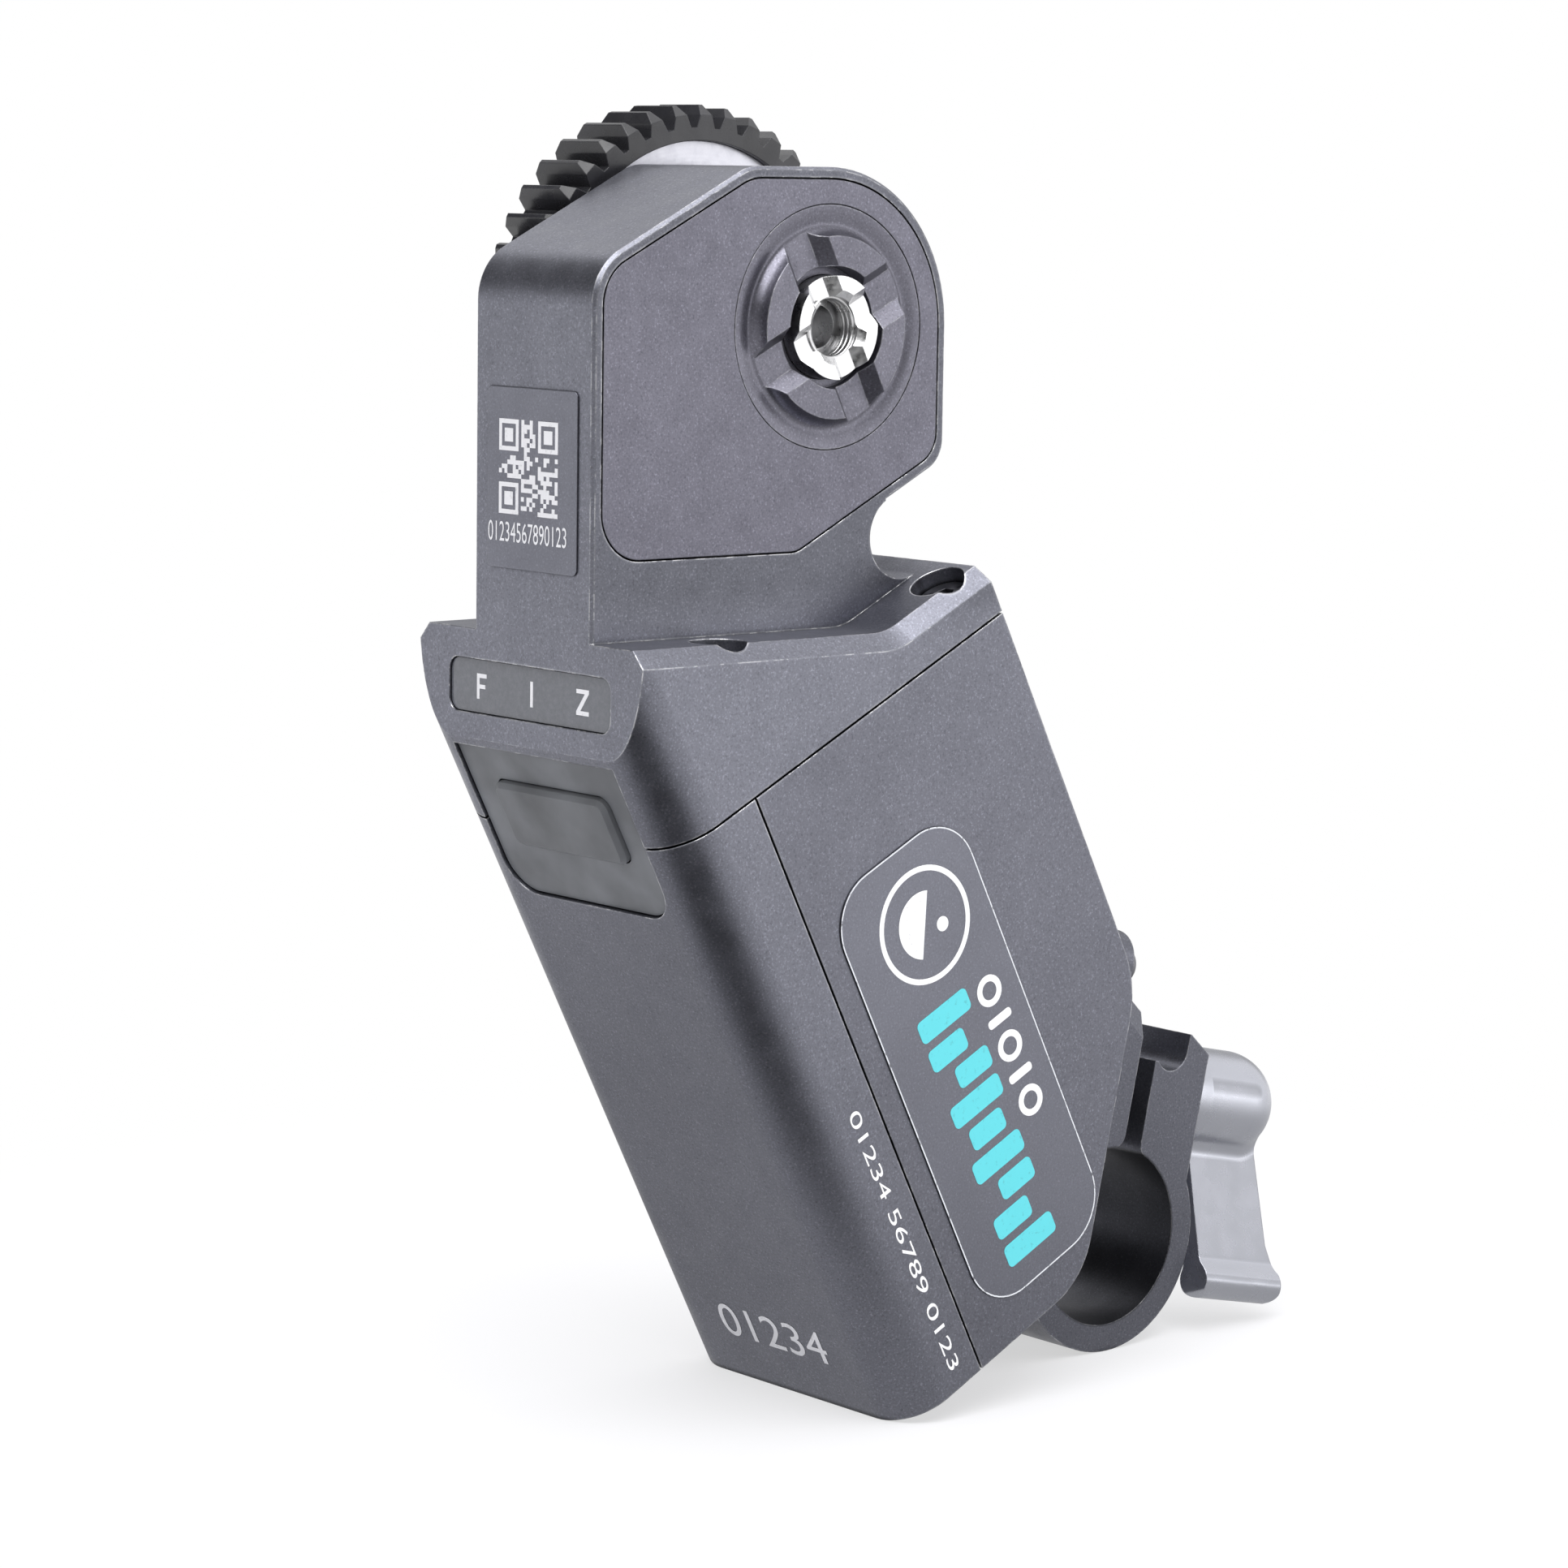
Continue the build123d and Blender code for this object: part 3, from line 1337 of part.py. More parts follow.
# the face gear's teeth point at the motor's pinion, which stands on the slanted axis
face_depth = (addendum + dedendum) * train_module
face_tip_x = pinion_pitch_r - addendum * train_module
face_root_x = face_tip_x + face_depth
face_line = degrees(atan2(-slant_up[2], -slant_up[1]))
with BuildPart() as face_gear:
    with BuildSketch(Plane.YZ.offset(face_tip_x)):
        with Locations(face_place):
            with PolarLocations(face_pitch_r, face_teeth, face_line + 180 / face_teeth):
                Rectangle(face_tooth_length, face_tooth_tip)
    extrude(
        amount=face_depth,
        taper=-degrees(atan2((face_tooth_root - face_tooth_tip) / 2, face_depth)),
    )
    with BuildSketch(Plane.YZ.offset(face_root_x)):
        with Locations(face_place):
            Circle(face_pitch_r + face_tooth_length / 2 + 0.3)
            Circle(axle_r + running_fit, mode=Mode.SUBTRACT)
    extrude(amount=face_disc_thickness)
    with BuildSketch(Plane.YZ.offset(layer_left_x)):
        gear_outline(
            face_place, small_teeth, train_module, face_small_turn, axle_r + running_fit
        )
    extrude(amount=layer_width)
    with BuildSketch(Plane.YZ.offset(layer_left_x + layer_width)):
        with Locations(face_place):
            Circle(axle_r + 1.0)
            Circle(axle_r + running_fit, mode=Mode.SUBTRACT)
    extrude(amount=face_root_x - layer_left_x - layer_width)
save(face_gear, "face_gear")

axle_places = [high_place, low_place, face_place]
with BuildPart() as gear_axles:
    with BuildSketch(Plane.YZ.offset(plate_left_x)):
        with Locations(*axle_places):
            Circle(axle_r)
    extrude(amount=cover_inner_x - plate_left_x)
save(gear_axles, "gear_axles")


def bar(start, end):
    """A round-ended bar from one place to another, in Y and Z."""
    rise, run = end[1] - start[1], end[0] - start[0]
    middle = ((start[0] + end[0]) / 2, (start[1] + end[1]) / 2)
    with Locations(Location(middle, degrees(atan2(rise, run)))):
        SlotCenterToCenter(hypot(rise, run), 2 * plate_margin)


def gear_plate(start_x):
    """A plate that carries the axle pins and one output bearing."""
    with BuildPart() as plate:
        with BuildSketch(Plane.YZ.offset(start_x)):
            with Locations(output_place):
                Circle(bearing_r + 2.2)
            bar(output_place, high_place)
            bar(high_place, low_place)
            bar(low_place, face_place)
            with Locations(output_place):
                Circle(bearing_r + seat_fit, mode=Mode.SUBTRACT)
            with Locations(*axle_places):
                Circle(axle_r + seat_fit, mode=Mode.SUBTRACT)
        extrude(amount=plate_thickness)
    return plate


gear_plate_left = gear_plate(plate_left_x)
save(gear_plate_left, "gear_plate_left")
gear_plate_right = gear_plate(plate_right_x)
save(gear_plate_right, "gear_plate_right")

# ================================================================ motor
with BuildPart() as motor_case:
    with BuildSketch(motor_section.offset(motor_bottom)):
        Circle(motor_r)
    extrude(amount=motor_length)
    with BuildSketch(motor_section.offset(motor_bottom)):
        Circle(motor_r - motor_wall)
    extrude(amount=motor_length - motor_wall, mode=Mode.SUBTRACT)
    with BuildSketch(motor_section.offset(motor_bottom)):
        Circle(motor_shaft_r + 1.1)
    extrude(amount=motor_length + 1, mode=Mode.SUBTRACT)
save(motor_case, "motor_case")

with BuildPart() as motor_end_cap:
    with BuildSketch(motor_section.offset(motor_bottom)):
        Circle(motor_r - motor_wall - seat_fit)
        Circle(motor_shaft_r + 1.1, mode=Mode.SUBTRACT)
    extrude(amount=1.2)
save(motor_end_cap, "motor_end_cap")

with BuildPart() as motor_bushes:
    for low, high in (
        (motor_bottom, motor_bottom + 1.2),
        (motor_top_height - motor_wall, motor_top_height),
    ):
        with BuildSketch(motor_section.offset(low)):
            Circle(motor_shaft_r + 1.1 - seat_fit)
            Circle(motor_shaft_r + running_fit, mode=Mode.SUBTRACT)
        extrude(amount=high - low)
save(motor_bushes, "motor_bushes")

coil_bottom = motor_bottom + coil_margin
coil_top = motor_top_height - coil_margin
with BuildPart() as motor_stator:
    with BuildSketch(motor_section.offset(coil_bottom)):
        Circle(motor_r - motor_wall - stator_gap)
        Circle(rotor_r + rotor_gap, mode=Mode.SUBTRACT)
    extrude(amount=coil_top - coil_bottom)
save(motor_stator, "motor_stator")

with BuildPart() as motor_rotor:
    with BuildSketch(motor_section.offset(coil_bottom)):
        Circle(rotor_r)
        Circle(motor_shaft_r + seat_fit, mode=Mode.SUBTRACT)
    extrude(amount=coil_top - coil_bottom)
save(motor_rotor, "motor_rotor")

with BuildPart() as motor_shaft:
    with BuildSketch(motor_section.offset(motor_bottom + 0.2)):
        Circle(motor_shaft_r)
    extrude(amount=pinion_top - motor_bottom - 0.2)
save(motor_shaft, "motor_shaft")

with BuildPart() as motor_pinion:
    with BuildSketch(motor_section.offset(pinion_bottom)):
        gear_outline((0, 0), small_teeth, train_module, 0, motor_shaft_r + seat_fit)
    extrude(amount=pinion_top - pinion_bottom)
save(motor_pinion, "motor_pinion")

bracket_back = end_screw_depth - boss_r - 0.4
inner_half = case_half - shell_wall
with BuildPart() as motor_plate:
    with BuildSketch(case_section.offset(motor_top_height)):
        case_outline(shell_wall + board_gap)
        with Locations((0, 0)):
            Rectangle(
                case_width,
                bracket_back,
                align=(Align.CENTER, Align.MIN),
                mode=Mode.INTERSECT,
            )
        with Locations((0, motor_depth)):
            Circle(motor_shaft_r + 1.4, mode=Mode.SUBTRACT)
    extrude(amount=motor_plate_thickness)
save(motor_plate, "motor_plate")

# ================================================================ boards
socket_back = case_depth - 0.3
board_front = socket_back - socket_depth - board_thickness
board_low = heel_height + 1.0
with BuildPart() as main_board:
    with BuildSketch(case_front.offset(board_front)):
        with Locations((0, board_low)):
            Rectangle(
                2 * (inner_half - board_gap),
                motor_top_height - 0.4 - board_low,
                align=(Align.CENTER, Align.MIN),
            )
    extrude(amount=board_thickness)
save(main_board, "main_board")

with BuildPart() as data_sockets:
    with BuildSketch(case_front.offset(socket_back - socket_depth)):
        with Locations(*socket_places):
            RectangleRounded(socket_width, socket_height, socket_height / 2 - 0.1)
    extrude(amount=socket_depth)
    with BuildSketch(case_front.offset(socket_back - socket_depth + 0.8)):
        with Locations(*socket_places):
            RectangleRounded(
                socket_width - 2 * socket_wall,
                socket_height - 2 * socket_wall,
                socket_height / 2 - socket_wall - 0.1,
            )
    extrude(amount=socket_depth, mode=Mode.SUBTRACT)
    with BuildSketch(case_front.offset(socket_back - socket_depth + 0.5)):
        with Locations(*socket_places):
            Rectangle(socket_width - 2 * socket_tongue_inset, 2 * socket_wall)
    extrude(amount=socket_depth - 1.2)
save(data_sockets, "data_sockets")

chip_places = [
    (-chip_x, socket_middle - chip_spacing / 2),
    (chip_x, socket_middle - chip_spacing / 2),
    (-chip_x, socket_middle + chip_spacing / 2),
]
with BuildPart() as board_chips:
    with BuildSketch(case_front.offset(board_front - chip_height)):
        with Locations(*chip_places):
            Rectangle(chip_size, chip_size)
    extrude(amount=chip_height)
save(board_chips, "board_chips")
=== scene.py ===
import math

import bmesh
import bpy
from mathutils import Matrix, Vector


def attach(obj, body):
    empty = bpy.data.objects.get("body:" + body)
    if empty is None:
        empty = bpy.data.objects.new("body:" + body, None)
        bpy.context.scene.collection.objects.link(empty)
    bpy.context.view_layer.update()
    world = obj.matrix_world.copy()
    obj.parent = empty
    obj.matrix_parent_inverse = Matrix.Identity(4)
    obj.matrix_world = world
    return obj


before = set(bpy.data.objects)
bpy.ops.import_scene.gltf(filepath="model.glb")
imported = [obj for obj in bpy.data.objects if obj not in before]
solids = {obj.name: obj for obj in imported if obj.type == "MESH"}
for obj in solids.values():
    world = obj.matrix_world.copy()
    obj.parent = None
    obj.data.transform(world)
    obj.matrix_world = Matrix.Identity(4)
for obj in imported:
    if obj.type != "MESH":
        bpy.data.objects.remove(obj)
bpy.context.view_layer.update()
MM = 0.001

# ------------------------------------------------------------------ places, in mm
CASE_SLANT = math.radians(27.0)
FLOOR_Z = -9.8
CASE_ORIGIN = Vector((0, -29.0, FLOOR_Z))
SLANT_BACK = Vector((0, math.cos(CASE_SLANT), math.sin(CASE_SLANT)))
SLANT_UP = Vector((0, -math.sin(CASE_SLANT), math.cos(CASE_SLANT)))
CASE_SIDE_X = 13.85
OUTPUT_Y, OUTPUT_Z = -33.997, 76.0
WINDOW_FACE_Y = -56.497
FRONT_FACE_Y = -56.697
X = Vector((1, 0, 0))
UP = Vector((0, 0, 1))
FORWARD = Vector((0, -1, 0))
FILM_THICK = 0.12
PRINT_THICK = 0.02


def new_node(tree, kind, inputs, settings):
    """A node added to a tree, with its inputs linked to sockets or set to values."""
    made = tree.nodes.new(kind)
    for key, value in settings.items():
        setattr(made, key, value)
    for key, value in (inputs or {}).items():
        put(tree, made.inputs[key], value)
    return made


def put(tree, socket, value):
    if isinstance(value, bpy.types.NodeSocket):
        tree.links.new(value, socket)
    else:
        socket.default_value = value


# ------------------------------------------------------------------ materials
# Seams and corners are darkened towards a near black by ambient occlusion: painted shade and
# dirt.
EDGE_SAMPLES, CREVICE_SAMPLES = 6, 5
SHADE_AND_DIRT = (0.004, 0.004, 0.005)
RUBBED, BARE_METAL = (0.75, 0.76, 0.80), (0.95, 0.95, 0.97)


class Finish:
    """A surface finish, built from nodes on Object coordinates."""

    def __init__(self, name):
        self.material = bpy.data.materials.new(name)
        self.material.use_nodes = True
        self.tree = self.material.node_tree
        self.tree.nodes.clear()
        self.output = self.tree.nodes.new("ShaderNodeOutputMaterial")
        self.shader = self.tree.nodes.new("ShaderNodeBsdfPrincipled")
        self.tree.links.new(self.shader.outputs["BSDF"], self.output.inputs["Surface"])
        self.place = self.tree.nodes.new("ShaderNodeTexCoord").outputs["Object"]

    def add(self, kind, inputs=None, **settings):
        return new_node(self.tree, "ShaderNode" + kind, inputs, settings)

    def put(self, socket, value):
        put(self.tree, socket, value)

    def set(self, **values):
        for key, value in values.items():
            self.put(self.shader.inputs[key.replace("_", " ")], value)

    def noise(self, size_mm, detail=2.0, rough=0.5):
        """Noise between 0 and 1, its features of about the given size."""
        return self.add(
            "TexNoise",
            {
                "Vector": self.place,
                "Scale": 1000.0 / size_mm,
                "Detail": detail,
                "Roughness": rough,
            },
        ).outputs["Fac"]

    def ramp(self, value, low, high, out_low=0.0, out_high=1.0, smooth=False):
        """The value's range from low to high, brought to another range and held there."""
        return self.add(
            "MapRange",
            {0: value, 1: low, 2: high, 3: out_low, 4: out_high},
            interpolation_type="SMOOTHSTEP" if smooth else "LINEAR",
        ).outputs["Result"]

    def blend(self, amount, first, second):
        """A mix of two colours, each a socket or three numbers."""
        made = self.add("Mix", data_type="RGBA", blend_type="MIX")
        self.put(made.inputs[0], amount)
        for index, colour in ((6, first), (7, second)):
            self.put(made.inputs[index], (*colour, 1) if isinstance(colour, tuple) else colour)
        return made.outputs[2]

    def sums(self, kind, first, second=0.0):
        return self.add("Math", {0: first, 1: second}, operation=kind).outputs[0]

    def measure(self, kind, first, second):
        """A number made from two vectors, such as their dot product."""
        return self.add("VectorMath", {0: first, 1: second}, operation=kind).outputs["Value"]

    def times(self, colour, tone):
        made = self.add("VectorMath", {0: colour}, operation="SCALE")
        self.put(made.inputs["Scale"], tone)
        return made.outputs[0]

    def rounded(self, radius_mm):
        """The surface normal with its edges softened."""
        return self.add(
            "Bevel", {"Radius": radius_mm * MM}, samples=EDGE_SAMPLES
        ).outputs["Normal"]

    def edges(self, radius_mm, low=0.015, high=0.12):
        """1 along sharp edges, 0 on open surfaces."""
        soft = self.rounded(radius_mm)
        plain = self.add("NewGeometry").outputs["Normal"]
        facing = self.measure("DOT_PRODUCT", soft, plain)
        return self.ramp(facing, 1.0 - low, 1.0 - high)

    def crevice_shade_and_dirt(self, colour, reach_mm=0.5, thickness=0.85):
        """The colour, darkened in seams and corners by ambient occlusion: painted shade and dirt.
        """
        open_air = self.add(
            "AmbientOcclusion", {"Distance": reach_mm * MM}, samples=CREVICE_SAMPLES
        ).outputs["AO"]
        shade_and_dirt = self.ramp(open_air, 0.35, 0.85, thickness, 0.0)
        return self.blend(shade_and_dirt, colour, SHADE_AND_DIRT)

    def painted_light_on_flats(self, colour, facing, low_mm, high_mm, low_tone, high_tone):
        """The colour, lightened or darkened by height on flats that face one way: painted light
        and shade.
        """
        height = self.add("SeparateXYZ", {0: self.place}).outputs["Z"]
        tone = self.ramp(
            height, low_mm * MM, high_mm * MM, low_tone, high_tone, smooth=True
        )
        normal = self.add("TexCoord").outputs["Normal"]
        turned = self.measure("DOT_PRODUCT", normal, facing)
        flat = self.ramp(self.sums("ABSOLUTE", turned), 0.985, 0.998)
        return self.blend(flat, colour, self.times(colour, tone))

    def painted_shade_in_bore(self, colour, radius_mm, tone):
        """The colour, darkened inside a bore along X through the origin: painted shade."""
        across = self.add(
            "VectorMath", {0: self.place, 1: (0.0, 1.0, 1.0)}, operation="MULTIPLY"
        ).outputs[0]
        radius = self.add("VectorMath", {0: across}, operation="LENGTH").outputs["Value"]
        bore_shade = self.ramp(radius, (radius_mm + 0.05) * MM, (radius_mm + 0.2) * MM, tone, 1.0)
        return self.times(colour, bore_shade)

    def bump(self, height, depth_mm, strength, normal=None):
        made = self.add(
            "Bump", {"Height": height, "Strength": strength, "Distance": depth_mm * MM}
        )
        if normal is not None:
            self.put(made.inputs["Normal"], normal)
        return made.outputs["Normal"]


def scaled(colour, factor):
    return tuple(min(1.0, channel * factor) for channel in colour)


def anodised(
    name, colour, rough=0.37, metal=0.9, grain_mm=0.17, wear=0.8, edge_mm=0.14,
    sparkle=0.6, flats=None, bore=None,
):
    """Bead-blasted and anodised aluminium, worn through to bright metal on its edges."""
    finish = Finish(name)
    cloud = finish.noise(14.0, 3.0, 0.5)
    grain = finish.noise(grain_mm, 3.0, 0.65)
    base = finish.blend(
        finish.ramp(cloud, 0.3, 0.7), scaled(colour, 0.95), scaled(colour, 1.05)
    )
    speck = finish.ramp(grain, 0.56, 0.72, 0.0, sparkle)
    base = finish.blend(speck, base, scaled(colour, 2.2))
    pit = finish.ramp(grain, 0.44, 0.30, 0.0, sparkle)
    base = finish.blend(pit, base, scaled(colour, 0.45))
    # Painted light and shade on flats that face one way, when asked for.
    if flats:
        base = finish.painted_light_on_flats(base, *flats)
    chips = finish.sums(
        "MULTIPLY",
        finish.edges(edge_mm),
        finish.ramp(finish.noise(1.3, 5.0, 0.7), 0.50, 0.55, 0.0, wear),
    )
    rub = finish.sums(
        "MULTIPLY",
        finish.edges(edge_mm * 2.2, 0.01, 0.2),
        finish.ramp(finish.noise(6.0, 3.0), 0.35, 0.65, 0.05, wear * 0.5),
    )
    base = finish.blend(rub, base, RUBBED)
    # Seams and corners darkened: painted shade and dirt.
    base = finish.crevice_shade_and_dirt(finish.blend(chips, base, BARE_METAL))
    # Painted shade inside the rod bore, when asked for.
    if bore:
        base = finish.painted_shade_in_bore(base, *bore)
    uneven = finish.ramp(finish.noise(2.5, 3.0), 0.3, 0.7, rough - 0.05, rough + 0.06)
    finish.set(
        Base_Color=base,
        Metallic=metal,
        Roughness=uneven,
        Normal=finish.bump(grain, 0.010, 0.5, finish.rounded(edge_mm)),
    )
    return finish.material


def machined_steel(name, colour, rough, centre=(0, 0, 0), axis="X"):
    """Turned metal with fine rings round one axis."""
    finish = Finish(name)
    turn = {"X": (0, math.pi / 2, 0), "Z": (0, 0, 0)}[axis]
    placed = finish.add(
        "Mapping",
        {"Vector": finish.place, "Location": tuple(-c * MM for c in centre)},
    ).outputs["Vector"]
    placed = finish.add("Mapping", {"Vector": placed, "Rotation": turn}).outputs["Vector"]
    rings = finish.add(
        "TexWave",
        {
            "Vector": placed,
            "Scale": 900.0,
            "Distortion": 1.2,
            "Detail": 3.0,
            "Detail Scale": 4.0,
        },
        wave_type="RINGS",
        rings_direction="Z",
    ).outputs["Fac"]
    haze = finish.noise(0.7, 4.0, 0.6)
    base = finish.blend(
        finish.ramp(haze, 0.35, 0.7), scaled(colour, 0.82), scaled(colour, 1.06)
    )
    finish.set(
        # Its seams and corners are darkened: painted shade and dirt.
        Base_Color=finish.crevice_shade_and_dirt(base, 1.2, 0.45),
        Metallic=1.0,
        Roughness=finish.ramp(haze, 0.3, 0.7, rough - 0.06, rough + 0.12),
        Normal=finish.bump(rings, 0.003, 0.35, finish.rounded(0.06)),
    )
    return finish.material


def moulded(name, colour, rough, wear, grain_mm=0.22):
    """Moulded engineering plastic with a fine spark-eroded grain."""
    finish = Finish(name)
    grain = finish.noise(grain_mm, 3.0, 0.6)
    cloud = finish.noise(6.0, 3.0)
    base = finish.blend(
        finish.ramp(cloud, 0.35, 0.65), scaled(colour, 0.8), scaled(colour, 1.25)
    )
    rub = finish.sums(
        "MULTIPLY",
        finish.edges(0.16),
        finish.ramp(finish.noise(1.1, 4.0), 0.45, 0.7, 0.1, wear),
    )
    base = finish.blend(rub, base, scaled(colour, 5.0))
    finish.set(
        Base_Color=base,
        Roughness=finish.ramp(finish.noise(1.8, 3.0), 0.3, 0.7, rough - 0.06, rough + 0.08),
        Normal=finish.bump(grain, 0.01, 0.5, finish.rounded(0.12)),
    )
    return finish.material


def printed(name, colour):
    """A thin opaque print with slight wear."""
    finish = Finish(name)
    worn = finish.ramp(finish.noise(0.5, 4.0, 0.7), 0.3, 0.42)
    base = finish.blend(worn, scaled(colour, 0.75), colour)
    finish.set(
        Base_Color=base,
        Roughness=0.5,
        Normal=finish.bump(finish.noise(0.2), 0.006, 0.3),
    )
    return finish.material


def worn_line(name, colour, under):
    """A film's cut edge, rubbed pale in places and dark in the rest."""
    finish = Finish(name)
    rubbed = finish.ramp(finish.noise(0.6, 5.0, 0.75), 0.34, 0.46)
    finish.set(
        Base_Color=finish.blend(rubbed, under, colour),
        Roughness=0.55,
        Normal=finish.bump(finish.noise(0.15), 0.01, 0.4),
    )
    return finish.material


def smoked_window(name):
    """Dark tinted acrylic with a light haze of fine scratches."""
    finish = Finish(name)
    scratch = finish.noise(0.35, 6.0, 0.75)
    tint, haze = (0.085, 0.090, 0.105), (0.120, 0.125, 0.145)
    finish.set(
        Base_Color=finish.blend(finish.ramp(scratch, 0.4, 0.7), tint, haze),
        Roughness=finish.ramp(scratch, 0.35, 0.75, 0.12, 0.26),
        Coat_Weight=0.6,
        Coat_Roughness=0.1,
        Normal=finish.bump(scratch, 0.002, 0.2, finish.rounded(0.08)),
    )
    return finish.material


def circuit_board(name):
    """Green solder mask over copper tracks."""
    finish = Finish(name)
    tracks = finish.add(
        "TexBrick",
        {"Vector": finish.place, "Scale": 700.0, "Mortar Size": 0.05},
    ).outputs["Fac"]
    finish.set(
        Base_Color=finish.blend(tracks, (0.012, 0.09, 0.045), (0.05, 0.17, 0.07)),
        Roughness=0.35,
        Normal=finish.bump(tracks, 0.02, 0.5),
    )
    return finish.material


def lacquered_windings(name):
    """Copper wire wound round the stack, under a clear lacquer."""
    finish = Finish(name)
    strands = finish.add(
        "TexWave",
        {"Vector": finish.place, "Scale": 1500.0, "Distortion": 0.6, "Detail": 1.0},
        bands_direction="X",
    ).outputs["Fac"]
    finish.set(
        Base_Color=finish.blend(strands, (0.20, 0.07, 0.03), (0.62, 0.28, 0.12)),
        Metallic=0.8,
        Roughness=finish.ramp(finish.noise(0.8), 0.3, 0.7, 0.25, 0.4),
        Normal=finish.bump(strands, 0.05, 0.6),
    )
    return finish.material


# Painted shade: tones that multiply the base colour on the head's side flats, on the lever's
# blade and in the rod bore. They stand in for shade under this script's light and aren't part
# of the finish: under another light they should all be 1. A flat's tone is the way the flat
# faces, two heights in mm and the tone at each. The bore's is its radius in mm and its tone.
HEAD_PAINTED_SHADE = ((1.0, 0.0, 0.0), 52.0, 57.0, 1.0, 0.64)
BLADE_PAINTED_SHADE = ((0.930, 0.079, 0.358), 0.0, 1.0, 0.63, 0.63)
BORE_PAINTED_SHADE = (7.5, 0.35)

# The shells, the cover and the hub differ a little in colour for the same reason: the rear
# shell, the cover and the hub are a darker grey as painted shade.
CASE_GREY = (0.205, 0.209, 0.246)
FILM_GREY = (0.200, 0.204, 0.240)
OUTPUT_AXIS = (0, OUTPUT_Y, OUTPUT_Z)
head_dark = anodised(
    "casing_anodised", CASE_GREY, wear=1.0, edge_mm=0.16, flats=HEAD_PAINTED_SHADE
)
case_dark = anodised("front_shell_anodised", CASE_GREY, edge_mm=0.16)
rear_dark = anodised("rear_shell_anodised", (0.184, 0.187, 0.221), edge_mm=0.16)
cover_dark = anodised("cover_anodised", (0.164, 0.161, 0.196), rough=0.38, wear=0.12)
hub_dark = anodised("hub_anodised", (0.166, 0.163, 0.196), rough=0.36, wear=0.4)
clamp_dark = anodised(
    "clamp_anodised", (0.143, 0.146, 0.173), rough=0.38, wear=0.5, bore=BORE_PAINTED_SHADE
)
lever_silver = anodised(
    "lever_anodised", (0.51, 0.52, 0.575), rough=0.28, metal=0.95, grain_mm=0.12,
    wear=0.0, sparkle=0.06, flats=BLADE_PAINTED_SHADE,
)
boss_silver = machined_steel("boss_turned", (0.68, 0.68, 0.74), 0.34, OUTPUT_AXIS)
steel = machined_steel("steel_turned", (0.86, 0.86, 0.87), 0.28, OUTPUT_AXIS)
plate_steel = machined_steel("steel_plate", (0.62, 0.62, 0.64), 0.35)
black_screw = machined_steel("screw_blackened", (0.22, 0.22, 0.24), 0.32, axis="Z")
brass = machined_steel("brass_cut", (0.72, 0.52, 0.22), 0.3)
gear_plastic = moulded("gear_moulding", (0.025, 0.025, 0.029), rough=0.26, wear=0.3)
panel_plastic = moulded(
    "panel_moulding", (0.127, 0.133, 0.143), rough=0.42, grain_mm=0.16, wear=0.15
)
button_plastic = moulded(
    "button_moulding", (0.107, 0.112, 0.120), rough=0.42, grain_mm=0.16, wear=0.15
)
window_smoke = smoked_window("window_smoked")
sticker_film = anodised(
    "sticker_film", FILM_GREY, rough=0.38, wear=0.0, metal=0.85, sparkle=0.3
)
label_film = anodised(
    "label_film", FILM_GREY, rough=0.36, wear=0.0, metal=0.85, sparkle=0.3
)
board_green = circuit_board("board_mask")
part_black = moulded("component_moulding", (0.03, 0.03, 0.032), rough=0.5, wear=0.1)
windings = lacquered_windings("stator_windings")
print_pale = printed("print_pale", (0.72, 0.72, 0.74))
print_white = printed("print_white", (0.90, 0.90, 0.90))
print_cyan = printed("print_cyan", (0.11, 0.66, 0.72))
film_edge = worn_line("film_edge_worn", (0.75, 0.77, 0.80), (0.10, 0.10, 0.12))

FINISHES = {
    head_dark: ["upper_housing"],
    case_dark: ["front_shell"],
    rear_dark: ["rear_shell"],
    cover_dark: ["head_cover"],
    hub_dark: ["drive_hub_right", "drive_hub_left"],
    clamp_dark: ["clamp_bracket"],
    lever_silver: ["clamp_lever"],
    boss_silver: ["gear_boss"],
    steel: [
        "coupling_ring_right", "coupling_ring_left", "output_shaft", "output_bearings",
        "gear_axles", "motor_shaft", "motor_rotor", "motor_bushes", "clamp_screw",
        "clamp_washer",
    ],
    plate_steel: [
        "gear_plate_left", "gear_plate_right", "motor_plate", "motor_case",
        "motor_end_cap", "data_sockets",
    ],
    black_screw: ["housing_screws", "bracket_screws", "gear_screw"],
    brass: [
        "output_gear", "reduction_gear_high", "reduction_gear_low", "face_gear",
        "motor_pinion",
    ],
    gear_plastic: ["focus_gear"],
    panel_plastic: ["function_panel"],
    button_plastic: ["function_button"],
    window_smoke: ["display_window"],
    sticker_film: ["serial_label"],
    label_film: ["side_label"],
    board_green: ["light_board", "button_board", "main_board"],
    part_black: ["button_switch", "board_chips", "channel_lights"],
    windings: ["motor_stator"],
}
for material, names in FINISHES.items():
    for name in names:
        mesh = solids[name].data
        if not mesh.materials:
            mesh.materials.append(material)
        for index in range(len(mesh.materials)):
            mesh.materials[index] = material


# ------------------------------------------------------------------ making pieces
def piece(name, mesh, material, body="housing"):
    """A finished mesh in the part's frame, riding on one body.

    A mesh that brings its own material is given None.
    """
    made = bpy.data.objects.new(name, mesh)
    bpy.context.scene.collection.objects.link(made)
    if material is not None:
        made.data.materials.clear()
        made.data.materials.append(material)
    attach(made, body)
    return made


